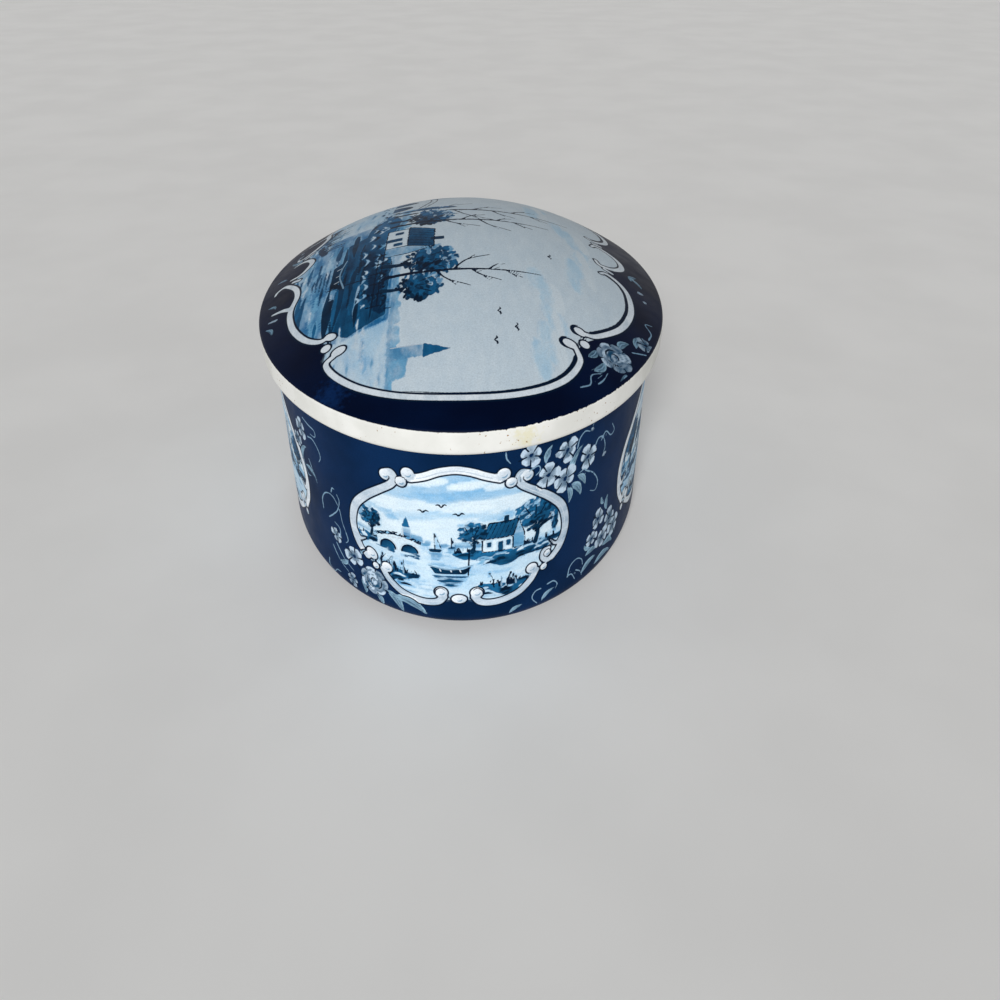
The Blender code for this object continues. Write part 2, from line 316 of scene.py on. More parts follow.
class Print:
    """A drawing on a printed face, in millimetres across and up.

    Each ink keeps a signed distance, positive inside what it covers. Each pen keeps two values, the distance
    to its line, with opposite signs on its two sides, and half the line's width: a line that is thinner than
    the grid is lost in the first kind and stays whole in the second. Tone says how light the ink is.
    """

    def __init__(self, across, up):
        self.across, self.up = across.ravel() / MM, up.ravel() / MM
        size = self.across.size
        self.inks = {ink: np.full(size, -DISTANCE_LIMIT) for ink in INK_ORDER}
        self.lines = {pen: np.full(size, DISTANCE_LIMIT) for pen in PENS}
        self.widths = {pen: np.full(size, NO_LINE) for pen in PENS}
        self.tone = np.full(size, FIRST_TONE)

    def fields(self):
        """Attributes of the mesh: values at the drawn points and the value elsewhere."""
        fields = {f"ink_{ink}": (values, -DISTANCE_LIMIT) for ink, values in self.inks.items()}
        fields |= {f"line_{pen}": (values, DISTANCE_LIMIT) for pen, values in self.lines.items()}
        fields |= {f"width_{pen}": (values, NO_LINE) for pen, values in self.widths.items()}
        return fields | {"tone": (self.tone, FIRST_TONE)}

    def near(self, low, high, grow=DISTANCE_LIMIT):
        """Numbers of the grid points in a box grown by a margin."""
        inside = (self.across > low[0] - grow) & (self.across < high[0] + grow)
        inside &= (self.up > low[1] - grow) & (self.up < high[1] + grow)
        return np.flatnonzero(inside)

    def cover(self, spots, distance, inks):
        """Cuts back inks and pens where a new shape covers them."""
        for values in [self.inks[ink] for ink in inks] + list(self.widths.values()):
            values[spots] = np.minimum(values[spots], -distance)

    def lay(self, ink, spots, distance, tone, shade=0.0):
        """Lays an ink over what is there, with its tone. Shade darkens what shows round it."""
        if shade:
            rim = (distance < 0) & (distance > -SHADE_REACH)
            self.tone[spots[rim]] *= 1 - shade * (1 + distance[rim] / SHADE_REACH)
        self.cover(spots, distance, INK_ORDER[INK_ORDER.index(ink) + 1 :])
        values = self.inks[ink]
        values[spots] = np.maximum(values[spots], distance)
        inside = spots[distance > -TONE_REACH]
        self.tone[inside] = tone(self.across[inside], self.up[inside]) if callable(tone) else tone

    def along(self, path):
        """Grid points near a path of (across, up, half width). For each comes, from the run of the path that
        covers it best, half the width there, the distance, the signed distance and how far it is past an end.
        """
        widest = path[:, 2].max()
        spots = self.near(path[:, :2].min(0) - widest, path[:, :2].max(0) + widest)
        x, y = self.across[spots], self.up[spots]
        best = np.full(spots.size, -np.inf)
        half, gap, side, past = (np.zeros(spots.size) for _ in range(4))
        for i, (start, end) in enumerate(zip(path[:-1], path[1:])):
            run = end[:2] - start[:2]
            length = max(math.hypot(*run), 1e-6)
            dx, dy = x - start[0], y - start[1]
            place = (dx * run[0] + dy * run[1]) / length
            share = np.clip(place / length, 0, 1)
            away = np.hypot(dx - share * run[0], dy - share * run[1])
            wide = start[2] + share * (end[2] - start[2])
            better = wide - away > best
            best = np.where(better, wide - away, best)
            half = np.where(better, wide, half)
            gap = np.where(better, away, gap)
            cross = (run[0] * dy - run[1] * dx) / length
            beyond = np.zeros(spots.size)
            if i == 0:
                beyond = np.maximum(beyond, -place)
            if i == len(path) - 2:
                beyond = np.maximum(beyond, place - length)
            side = np.where(better, np.where(beyond > 0, cross, np.copysign(away, cross)), side)
            past = np.where(better, beyond, past)
        return spots, half, gap, side, past

    def path(self, points, width, steps, curved):
        """A path with half widths, from points and one width or one for each point."""
        path = np.column_stack([np.array(points, float), np.broadcast_to(width, len(points)) / 2])
        return smooth_path(path, steps) if curved and len(path) > 2 else path

    def stroke(self, ink, points, width, tone, shade=0.0, steps=5, curved=True):
        """A brush stroke: half the width, which changes evenly along the path, less the distance to it."""
        spots, half, gap, _, _ = self.along(self.path(points, width, steps, curved))
        self.lay(ink, spots, np.clip(half - gap, -DISTANCE_LIMIT, DISTANCE_LIMIT), tone, shade)

    def pen(self, pen, points, width, steps=5, curved=True):
        """A thin line. Where two lines with opposite sides meet, the points between them carry neither."""
        spots, half, _, side, past = self.along(self.path(points, width, steps, curved))
        half = half - past
        kept = np.abs(side) < np.maximum(half, 0) + PEN_REACH
        spots, half, side = spots[kept], half[kept], side[kept]
        line, widths = self.lines[pen], self.widths[pen]
        old_side, old_half = line[spots], widths[spots]
        nearer = half - np.abs(side) > old_half - np.abs(old_side)
        new_side, new_half = np.where(nearer, side, old_side), np.where(nearer, half, old_half)
        opposed = (side * old_side < 0) & (old_half > -1) & (np.abs(new_side) > new_half + 0.1)
        line[spots] = new_side
        widths[spots] = np.where(opposed, np.minimum(new_half, -0.4), new_half)

    def oval_distance(self, centre, radii, turn):
        """Grid points near an ellipse, and its implicit function over its slope, close to the distance."""
        radii = np.broadcast_to(radii, 2).astype(float)
        reach = radii.max()
        spots = self.near((centre[0] - reach, centre[1] - reach), (centre[0] + reach, centre[1] + reach))
        dx, dy = self.across[spots] - centre[0], self.up[spots] - centre[1]
        c, s = math.cos(turn), math.sin(turn)
        u, v = (c * dx + s * dy) / radii[0], (c * dy - s * dx) / radii[1]
        level = np.maximum(np.hypot(u, v), 1e-6)
        slope = np.maximum(np.hypot(u / radii[0], v / radii[1]) / level, 1e-6)
        return spots, np.clip((1 - level) / slope, -DISTANCE_LIMIT, DISTANCE_LIMIT)

    def oval(self, ink, centre, radii, turn, tone, shade=0.0):
        """A filled ellipse."""
        self.lay(ink, *self.oval_distance(centre, radii, turn), tone, shade)

    def hole(self, centre, radii, turn):
        """An ellipse left free of ink, so that the ground shows."""
        self.cover(*self.oval_distance(centre, radii, turn), INK_ORDER)

    def area_distance(self, outline):
        """Grid points near a closed outline, with their signed distance to it."""
        spots = self.near(outline.min(0), outline.max(0))
        x, y = self.across[spots], self.up[spots]
        gap = np.full(spots.size, np.inf)
        inside = np.zeros(spots.size, bool)
        for (ax, ay), (bx, by) in zip(outline, np.roll(outline, -1, axis=0)):
            run = (bx - ax, by - ay)
            share = ((x - ax) * run[0] + (y - ay) * run[1]) / max(run[0] ** 2 + run[1] ** 2, 1e-12)
            share = np.clip(share, 0, 1)
            gap = np.minimum(gap, np.hypot(x - ax - share * run[0], y - ay - share * run[1]))
            if ay != by:
                inside ^= ((ay > y) != (by > y)) & (x < ax + (y - ay) * run[0] / run[1])
        return spots, np.clip(np.where(inside, gap, -gap), -DISTANCE_LIMIT, DISTANCE_LIMIT)

    def area(self, ink, outline, tone, curved=False, shade=0.0):
        """A filled outline, with straight or curved sides."""
        outline = smooth_path(outline, 5, closed=True) if curved else np.array(outline, float)
        self.lay(ink, *self.area_distance(outline), tone, shade)

    def clip(self, outline, reach=14):
        """Trims the inks and pens of a picture to its outline, up to a reach beyond it."""
        zone = self.near(outline.min(0), outline.max(0), reach)
        limit = np.full(self.across.size, -DISTANCE_LIMIT)
        spots, distance = self.area_distance(outline)
        limit[spots] = distance
        for values in [self.inks[ink] for ink in PICTURE_INKS] + list(self.widths.values()):
            values[zone] = np.minimum(values[zone], limit[zone])


def placed(foot, size):
    """Turns shares of a size, or of a width and a height, into places from a foot."""
    return lambda shares: np.array(foot) + np.array(shares) * size


def upright(left, right, foot, top):
    """Corners of an upright rectangle."""
    return [(left, foot), (right, foot), (right, top), (left, top)]


class Picture:
    """A landscape on a print, in millimetres across from its middle and up from its horizon."""

    def __init__(self, sheet, middle, seed):
        self.sheet, self.middle = sheet, np.array(middle, float)
        self.chance = np.random.default_rng(seed)

    def at(self, points):
        return self.middle + np.array(points, float)

    def vary(self, low, high, count=None):
        return self.chance.uniform(low, high, count)

    def lit(self, centre, reach, dark=0.1, light=0.9):
        return lit(self.at(centre), reach, dark, light)

    def stroke(self, ink, points, width, tone):
        self.sheet.stroke(ink, self.at(points), width, tone, steps=4)

    def pen(self, points, width, pen="dark"):
        self.sheet.pen(pen, self.at(points), width, steps=4)

    def line(self, points, width, pen="dark"):
        self.sheet.pen(pen, self.at(points), width, curved=False)

    def area(self, ink, points, tone, curved=False, shade=0.0):
        self.sheet.area(ink, self.at(points), tone, curved, shade)

    def oval(self, ink, centre, radii, turn, tone, shade=0.0):
        self.sheet.oval(ink, self.at(centre), radii, turn, tone, shade)

    def cloud(self, centre, width, height, tone):
        """A bank of cloud: overlapping washes, and a pale break above them."""
        at = placed(centre, (width, height))
        for share in np.linspace(-0.5, 0.5, 6):
            lift = 0.3 * math.cos(share * 5) + self.vary(-0.2, 0.2)
            radii = (width * self.vary(0.14, 0.24), height * self.vary(0.22, 0.4))
            self.oval("sky", at((share, lift)), radii, 0.14, tone)
        for share in (-0.25, 0.1, 0.35):
            self.oval("paper", at((share, self.vary(0.3, 0.6))), (width * 0.2, height * 0.2), 0.14, 0.95)

    def crown(self, centre, width, height):
        """Foliage: clumps lit from the upper left, with leaf dabs, mostly dark below and pale above."""
        at = placed(centre, (width, height))
        clumps = [
            (-0.2, 0.25), (0.18, 0.24), (0, 0.34), (-0.33, 0), (0.33, 0.02), (0, 0.05), (-0.17, -0.2),
            (0.2, -0.18),
        ]
        for spot in at(clumps):
            radii = (self.vary(0.16, 0.23) * width, self.vary(0.15, 0.21) * height)
            lean = self.vary(-0.4, 0.4)
            self.oval("deep", spot, radii, lean, self.lit(spot, radii[0], 0.0, 0.85), 0.6)
        shades = (("ink", 0.1), ("ink", 0.6), ("deep", 0.3), ("deep", 0.8), ("blue", 0.5), ("sky", 0.3))
        size = 0.32 + 0.03 * width
        for _ in range(int(60 + 5 * width)):
            angle, reach = self.vary(0, math.tau), self.vary(0.02, 1) ** 0.5
            across, up = 0.54 * reach * math.cos(angle), 0.54 * reach * math.sin(angle)
            facing = reach * math.cos(angle - 2.3) + self.vary(-0.7, 0.7)
            ink, tone = shades[int(np.clip(2.4 + 2.2 * facing, 0, 5))]
            radii = (size * self.vary(0.8, 1.5), size * self.vary(0.5, 0.8))
            self.oval(ink, at((across, up)), radii, self.vary(-0.6, 0.6), tone)

    def tree(self, foot, height, width):
        """Trunk, boughs and a round crown."""
        trunk = placed(foot, height)([(0, 0), (0.05, 0.25), (-0.02, 0.6)])
        self.stroke("ink", trunk, np.array([0.11, 0.08, 0.05]) * height, 0.4)
        at = placed(foot, (width, height))
        for side, reach in ((-1, 0.3), (1, 0.34), (-1, 0.16), (1, 0.12)):
            self.pen(at([(0, 0.25), (side * 0.5 * reach, 0.4), (side * reach, 0.58)]), [0.8, 0.5, 0.3])
        self.crown(at((0, 0.66)), width, 0.68 * height)
        for side in (-1, 1, 0):
            self.pen(at([(0.1 * side, 0.6), (0.26 * side, 0.84)]), 0.3)

    def poplar(self, foot, height):
        """A tall narrow tree drawn with upright dabs."""
        middle = (foot[0], foot[1] + 0.5 * height)
        self.oval("deep", middle, (0.1 * height, 0.47 * height), 0, self.lit(middle, 0.1 * height))
        for share in np.linspace(0.08, 0.94, 16):
            reach = 0.11 * height * math.sin(math.pi * share) ** 0.5
            across = self.vary(-1, 1) * reach
            ink = "ink" if across > 0 else "blue"
            spot = (foot[0] + across, foot[1] + share * height)
            self.oval(ink, spot, (0.4, 0.05 * height), self.vary(-0.4, 0.4), 0.6)
        self.pen([foot, (foot[0], foot[1] - 0.06 * height)], 0.6)

    def bare_tree(self, foot, height):
        """A tall thin tree without leaves: a bent trunk and fine upright twigs."""
        x, y = foot
        lean = self.vary(-0.05, 0.08) * height
        thick = 0.6 + 0.02 * height
        trunk = [(x, y), (x + 0.2 * lean, y + 0.45 * height), (x + lean, y + height)]
        self.pen(trunk, [thick, 0.65 * thick, 0.3])
        side = 1
        for share in np.linspace(0.22, 0.78, 6):
            side = -side
            spread = self.vary(0.5, 0.9)
            long = height * self.vary(0.18, 0.34) * (1.15 - share)
            start = (x + lean * share**2, y + share * height)
            middle = (start[0] + side * 0.6 * spread * long, start[1] + 0.35 * long)
            tip = (start[0] + side * spread * long, start[1] + long)
            self.pen([start, middle, tip], [0.5 * thick, 0.45, 0.3])
            self.pen([middle, (middle[0] + 0.3 * side * long, middle[1] + 0.25 * long)], [0.4, 0.25])

    def cottage(self, corner, width, height):
        """Gabled house: pale front, shaded end wall, hatched roof, dark door and windows, chimney."""
        at = placed(corner, (width, height))
        self.area("paper", at(upright(0, 0.72, 0, 0.48)), 0.95)
        self.area("blue", at([(0.72, 0), (1, 0), (1, 0.48), (0.86, 1), (0.72, 0.48)]), 0.5)
        roof = at([(-0.05, 0.45), (0.16, 1), (0.86, 1), (0.72, 0.45)])
        self.area("deep", roof, self.lit(at((0.4, 0.7)), 0.4 * width, 0.15, 0.7))
        self.area("ink", at(upright(0.5, 0.62, 0.92, 1.2)), 0.5)
        self.area("deep", at(upright(0.36, 0.48, 0, 0.33)), 0.2)
        for left in (0.1, 0.55):
            self.area("deep", at(upright(left, left + 0.11, 0.16, 0.34)), 0.3)
        for share in np.linspace(0.14, 0.86, 6):
            self.line(at([(share * 0.77 - 0.05, 0.48), (0.16 + 0.7 * share, 1)]), 0.25)
        for run in (
            [(0, 0), (0, 0.48)],
            [(0.72, 0), (0.72, 0.48)],
            [(1, 0), (1, 0.48), (0.86, 1), (0.16, 1), (-0.06, 0.45)],
            [(-0.06, 0.45), (0.72, 0.45), (0.86, 1)],
            [(-0.03, 0), (1.03, 0)],
        ):
            self.line(at(run), 0.35)

    def bridge(self, left, right, foot, rise, arches):
        """Stone bridge with a humped deck, round arches with a ring of stones, and a parapet."""
        across = np.linspace(left, right, 9)
        hump = np.sin(np.pi * (across - left) / (right - left))
        deck = foot + rise * (0.7 + 0.3 * hump)
        edge = np.column_stack([across, deck])
        self.area("paper", np.concatenate([edge, [(right, foot), (left, foot)]]), 0.7)
        step = (right - left) / arches
        angles = np.linspace(0, math.pi, 12)
        for i in range(arches):
            middle = left + (i + 0.5) * step
            wide, tall = 0.36 * step, rise * (0.52 if i in (0, arches - 1) else 0.62)
            arch = np.column_stack([middle + wide * np.cos(angles), foot + tall * np.sin(angles)])
            self.area("deep", arch, self.lit((middle, foot + 0.3 * tall), wide, 0.7, 0.0))
            self.pen(arch, 0.45)
            ring = (arch - (middle, foot)) * (1 + 0.5 / wide) + (middle, foot)
            self.pen(ring, 0.25, "grey")
            for _ in range(5):
                spot = middle + self.vary(-0.9, 0.9) * wide
                low = foot - self.vary(0.1, 0.55) * tall
                self.stroke("deep", [(spot - 0.3 * wide, low), (spot + 0.3 * wide, low)], [0.3, 0.7], 0.4)
        self.pen(edge, 0.4)
        self.pen(edge + (0, 0.17 * rise), 0.35)
        for x in np.linspace(left, right, 5 * arches):
            y = np.interp(x, across, deck)
            self.line([(x, y), (x, y + 0.17 * rise)], 0.3)
        for _ in range(9 * arches):
            x = self.vary(left + 0.5, right - 1.5)
            y = np.interp(x, across, deck) - rise * self.vary(0.06, 0.24)
            self.line([(x, y), (x + 0.09 * rise + 0.3, y)], 0.25, "grey")

    def spire(self, foot, height, tone=0.45):
        """Distant church: tower with a pointed roof, and a low nave."""
        at = placed(foot, (0.13 * height, height))
        self.area("blue", at([(1, 0), (4.4, 0), (4.0, 0.26), (1, 0.3)]), tone)
        self.area("blue", at(upright(-1, 1, 0, 0.55)), tone - 0.25)
        self.area("deep", at([(-1.2, 0.54), (1.2, 0.54), (0, 1)]), 0.8)
        self.line(at([(-1, 0), (-1, 0.54)]), 0.25, "grey")

    def grove(self, left, right, foot, height, tone):
        """Far trees along the horizon: a row of low rounded dabs over a level line."""
        for x in np.arange(left, right, 0.5 * height):
            tall = height * self.vary(0.3, 1)
            spot = (x, foot + 0.35 * tall)
            shading = self.lit(spot, 0.4 * height, tone - 0.3, tone + 0.3)
            self.oval("blue", spot, (0.45 * height, 0.5 * tall), 0, shading)
        level = [(left, foot), ((left + right) / 2, foot + 0.1), (right, foot)]
        self.stroke("blue", level, [0.3, 0.9, 0.3], tone - 0.2)

    def sail(self, foot, height, ink="ink"):
        """Small sailing boat far off: hull, mast, two sails and a broken reflection."""
        at = placed(foot, height)
        self.area("sky", at([(0.02, 0.14), (0.03, 1), (0.3, 0.17)]), 0.2)
        self.area("paper", at([(-0.03, 0.14), (-0.01, 0.9), (-0.25, 0.17)]), 0.9)
        self.area(ink, at([(-0.34, 0.12), (0.36, 0.14), (0.25, -0.05), (-0.24, -0.06)]), 0.4)
        self.line(at([(0, 0), (0, 1.04)]), 0.3)
        self.line(at([(0.3, 0.17), (0.03, 1)]), 0.22)
        for i in range(4):
            low, wide = -(0.14 + 0.11 * i), 0.26 - 0.05 * i
            self.stroke("blue", at([(-wide, low), (wide, low)]), [0.35, 0.55], 0.3)

    def punt(self, foot, length):
        """Flat boat at the bank: dark hull, pale gunwale, thwarts and a mooring pole."""
        at = placed(foot, length)
        hull = [(-0.5, 0.16), (-0.2, 0.09), (0.3, 0.09), (0.52, 0.2), (0.36, -0.05), (-0.36, -0.06)]
        self.area("ink", at(hull), self.lit(foot, 0.2 * length, 0.1, 0.8), shade=0.5)
        self.pen(at([(-0.5, 0.17), (0, 0.09), (0.52, 0.21)]), 0.4, "pale")
        for share in (-0.25, 0.0, 0.22):
            self.line(at([(share, 0.1), (share + 0.03, 0.02)]), 0.3, "grey")
        self.line(at([(0.42, -0.1), (0.46, 0.7)]), 0.4)
        for i in range(5):
            low, wide = -(0.12 + 0.07 * i), 0.42 - 0.06 * i
            line = at([(-wide, low), (0, low), (wide, low)]) - [(0, 0), (0, 0.1), (0, 0)]
            self.stroke("deep", line, [0.3, 0.6, 0.3], 0.4)

    def shore(self, left, right, level, depth):
        """Near bank: a dark ragged mass of earth, with broken strokes of light and grass on it."""
        across = np.linspace(left, right, 10)
        upper = level + depth * self.vary(-0.12, 0.18, 10)
        swell = 0.25 + 0.75 * np.sin(np.pi * np.linspace(0, 1, 10))
        under = level - depth * swell * self.vary(0.6, 1, 10)
        outline = np.concatenate([np.column_stack([across, upper]), np.column_stack([across, under])[::-1]])
        middle = ((left + right) / 2, level - 0.4 * depth)
        self.area("deep", outline, self.lit(middle, 0.7 * depth, 0.0, 0.8), curved=True)
        for i in range(int(0.9 * (right - left))):
            x = self.vary(left, right - 3)
            y = level - depth * self.vary(0.0, 0.85)
            run = self.vary(1.5, 4.5)
            ink, tone = (("ink", 0.3), ("blue", 0.6), ("ink", 0.1), ("sky", 0.5), ("paper", 0.8))[i % 5]
            self.stroke(ink, [(x, y), (x + run / 2, y + 0.1 * depth), (x + run, y)], [0.2, 0.75, 0.2], tone)
        for _ in range(int(1.1 * (right - left))):
            x = self.vary(left, right)
            y = np.interp(x, across, upper)
            tall = self.vary(0.6, 1.5)
            self.pen([(x, y - 0.3), (x + self.vary(-0.5, 0.5), y + tall)], [0.4, 0.2])

    def ripples(self, left, right, bottom, top, count, inks, longest):
        """Water: level strokes of the brush, longer towards the viewer."""
        for _ in range(count):
            y = self.vary(bottom, top)
            near = 0.4 + 0.6 * (top - y) / (top - bottom)
            run = longest * near * self.vary(0.35, 1)
            x = self.vary(left, right - run)
            thick = max(0.55, longest * 0.08 * near * self.vary(0.5, 1))
            ink = inks[self.chance.integers(len(inks))]
            dip = self.vary(-0.03, 0.03) * run
            line = [(x, y), (x + run / 2, y + dip), (x + run, y)]
            self.stroke(ink, line, [0.3 * thick, thick, 0.2 * thick], self.vary(0.2, 0.9))

    def reeds(self, left, right, foot, height, count):
        """Bent blades that spring from the water's edge, dark before pale, with a few seed heads."""
        for i in range(count):
            x = self.vary(left, right)
            tall = height * self.vary(0.5, 1)
            lean = self.vary(-0.4, 0.4) * tall
            blade = [(x, foot), (x + 0.25 * lean, foot + 0.6 * tall), (x + lean, foot + tall)]
            self.pen(blade, [0.5, 0.35, 0.2], "pale" if i % 3 == 2 else "dark")
            if i % 6 == 0:
                self.oval("ink", (x + 0.95 * lean, foot + 0.98 * tall), (0.28, 0.6), -0.3 * lean / tall, 0.3)

    def fence(self, left, right, foot, height):
        """Posts and two rails along a path."""
        for x in np.linspace(left, right, 6):
            self.line([(x, foot), (x + 0.05 * height, foot + height)], 0.5)
        for share in (0.45, 0.8):
            rail = [(left, foot + share * height), (right, foot + (share - 0.08) * height)]
            self.line(rail, 0.35)

    def birds(self, spots, span):
        """Small birds in the distance: two arcs each."""
        for x, y in spots:
            wings = placed((x, y), span)([(-1, 0.3), (-0.45, 0.5), (0, 0), (0.5, 0.6), (1, 0.35)])
            self.pen(wings, [0.15, 0.4, 0.35, 0.4, 0.15])


# Flowers and scrollwork


def blossom(sheet, centre, radius, turn, light=1.0):
    """Five-petalled flower: notched petals, pale at the rim and grey-blue in the throat, round a dark eye."""
    for i in range(5):
        angle = turn + i * math.tau / 5 + 0.2 * math.sin(3 * i + centre[1])
        size = radius * (1 + 0.16 * math.sin(4 * i + centre[0]))
        tone = rimmed(centre, 1.1 * radius, 0.0, light * (0.85 + 0.15 * math.sin(5 * i + centre[0])))
        for side, shade in ((-0.28, 0.85), (0.28, 0.0)):
            lobe = around(centre, 0.64 * size, angle + side)
            sheet.oval("petal", lobe, (0.37 * size, 0.21 * size), angle, tone, shade)
        sheet.oval("petal", around(centre, 0.34 * size, angle), (0.26 * size, 0.17 * size), angle, tone)
        rim = [around(centre, 0.84 * size, angle + side) for side in (-0.45, -0.15, 0.2, 0.5)]
        sheet.stroke("petal", rim, np.array([0.1, 0.26, 0.28, 0.1]) * size, 1.15 * light)
    for i in range(5):
        angle = turn + (i + 0.5) * math.tau / 5
        cleft = [around(centre, 0.3 * radius, angle), around(centre, 1.02 * radius, angle + 0.08)]
        sheet.pen("dark", cleft, [0.3, 0.55], curved=False)
    sheet.hole(centre, (0.2 * radius, 0.16 * radius), turn)


def rose(sheet, centre, radius, turn, light=1.0):
    """Full-blown rose: two rings of dark petals round a heart, each with pale brush strokes along its rim."""
    for reach, count, size in ((0.62, 7, 0.42), (0.34, 5, 0.34)):
        for i in range(count):
            angle = turn + reach + i * math.tau / count
            spot = around(centre, reach * radius, angle)
            tone = rimmed(centre, (reach + size) * radius, -0.1, 0.3 * light)
            sheet.oval("petal", spot, (0.85 * size * radius, size * radius), angle, tone, 0.7)
            rim = [around(spot, 0.72 * size * radius, angle + side) for side in (-1.3, -0.5, 0.3, 1.1)]
            thick = np.array([0.02, 0.06, 0.07, 0.02]) * radius
            sheet.stroke("petal", rim, thick, light * (0.5 + 0.65 * (i % 2)))
    heart = around(centre, 0.06 * radius, turn + 1.0)
    sheet.oval("petal", heart, 0.22 * radius, 0, 0.1, 0.8)
    for reach, start, sweep in ((0.15, 3.0, 3.0), (0.3, 0.4, 2.0)):
        curl = [around(centre, reach * radius, turn + start + sweep * k) for k in (0, 0.35, 0.7, 1)]
        sheet.stroke("petal", curl, np.array([0.02, 0.05, 0.05, 0.02]) * radius, light)
    for reach, start, sweep in ((0.5, 2.4, 2.0), (0.54, 4.9, 1.7), (0.23, 0.6, 2.8)):
        curl = [around(centre, reach * radius, turn + start + sweep * k) for k in (0, 0.35, 0.7, 1)]
        sheet.pen("dark", curl, [0.2, 0.45, 0.45, 0.2])
    for i in range(7):
        angle = turn + 0.62 + (i + 0.5) * math.tau / 7
        cleft = [around(centre, 0.72 * radius, angle), around(centre, 1.04 * radius, angle)]
        sheet.pen("dark", cleft, [0.25, 0.6], curved=False)


# How far a leaf's midrib bends, by its length
LEAF_BEND = 0.15


def leaf(sheet, root, tip, width, light):
    """Pointed leaf on a bent midrib: dark blue inside, one half lighter, with pale edges and a pale rib."""
    root, tip = np.array(root, float), np.array(tip, float)
    run = tip - root
    length = math.hypot(*run)
    normal = np.array([-run[1], run[0]]) / length
    bow = LEAF_BEND * length

    def tone(x, y):
        place = np.clip(((x - root[0]) * run[0] + (y - root[1]) * run[1]) / length**2, 0, 1)
        off = (x - root[0]) * normal[0] + (y - root[1]) * normal[1] - bow * np.sin(np.pi * place)
        edge = 2 * np.abs(off) / (width * np.sin(np.pi * np.clip(place, 0.08, 0.92)))
        return np.clip(light * (0.4 + 0.75 * np.clip(2.0 * edge - 0.9, 0, 1)) + 0.5 * off / width, 0.05, 1)

    spine = [root + t * run + bow * math.sin(math.pi * t) * normal for t in (0, 0.2, 0.45, 0.75, 1)]
    sheet.stroke("leaf", spine, np.array([0.15, 0.8, 1.0, 0.6, 0.05]) * width, tone, 0.5)
    sheet.pen("pale", spine[:4], [0.35, 0.3, 0.25, 0.15])


def tendril(sheet, points, width):
    """Curling stem that thins towards its tip."""
    sheet.pen("pale", points, np.linspace(0.85, 0.4, len(points)) * width)


def sprig(sheet, centre, size, turn):
    """Small bud of three short dabs."""
    for angle in (turn - 0.7, turn, turn + 0.7):
        sheet.stroke("petal", [centre, around(centre, size, angle)], [0.3, 0.55 * size], 0.6, curved=False)


def band(sheet, points, width, side, tone=0.85, veined=True):
    """Scroll band: a white stroke, with a faint vein along it a little to one side of its middle."""
    path = smooth_path(np.column_stack([np.array(points, float), np.broadcast_to(width, len(points))]), 6)
    sheet.stroke("white", path[:, :2], path[:, 2], tone, curved=False)
    if veined:
        middle = shifted(path, 0.12 * side * np.max(width))
        sheet.pen("grey", middle[3:-3, :2], 0.3, curved=False)


def knob(sheet, centre, radii, turn=0.0, shaded=True):
    """Rounded end of a band, drawn as one with it. Shaded, it has a crescent on its lower side."""
    radii = np.broadcast_to(radii, 2).astype(float)
    if not shaded:
        sheet.oval("white", centre, radii, turn, 1.0)
        return
    sheet.oval("white", centre, radii, turn, lit(centre, radii.max(), 0.4, 1.0))
    crescent = [around(centre, 0.55 * radii.min(), angle) for angle in (-2.3, -1.5, -0.7, 0.0)]
    sheet.pen("pale", crescent, [0.15, 0.35, 0.35, 0.15])


def pearl(sheet, centre, radius, stretch=1.0, ring=0.4, shaded=True):
    """Free pearl between two bands, with a dark ring where it touches them."""
    radii = np.array([radius * stretch, radius])
    angles = np.linspace(0, math.tau, 15)
    edge = np.column_stack([np.cos(angles), np.sin(angles)]) * (radii + ring / 2)
    sheet.pen("dark", np.array(centre) + edge, ring, curved=False)
    knob(sheet, centre, radii, shaded=shaded)


# The wall's decoration

FRONT_MIDDLE = -1.35
BAND_WIDTH = 1.95


def mirrored(points, middle, side):
    """Points given across from the middle, turned over for side -1."""
    p = np.array(points, float)
    p[..., 0] = middle + side * p[..., 0]
    return p


def both_halves(half, middle):
    """A closed outline from its right half, which starts and ends on the middle line."""
    return np.concatenate([mirrored(half, middle, 1), mirrored(half[1:-1], middle, -1)[::-1]])


def front_outline():
    """Edge of the front picture, down the middle of its frame."""
    half = [
        (0, 48.9), (6.5, 47.6), (11.0, 45.6), (13.4, 43.8), (16.0, 42.8), (19.8, 39.9), (23.8, 36.7),
        (27.0, 33.0), (28.6, 28.4), (28.7, 24.0), (27.2, 20.0), (24.6, 17.6), (21.5, 15.8), (19.6, 14.6),
        (17.6, 12.2), (14.2, 9.9), (10.2, 8.7), (6.2, 8.9), (3.4, 9.8), (0, 10.2),
    ]
    return both_halves(half, FRONT_MIDDLE)


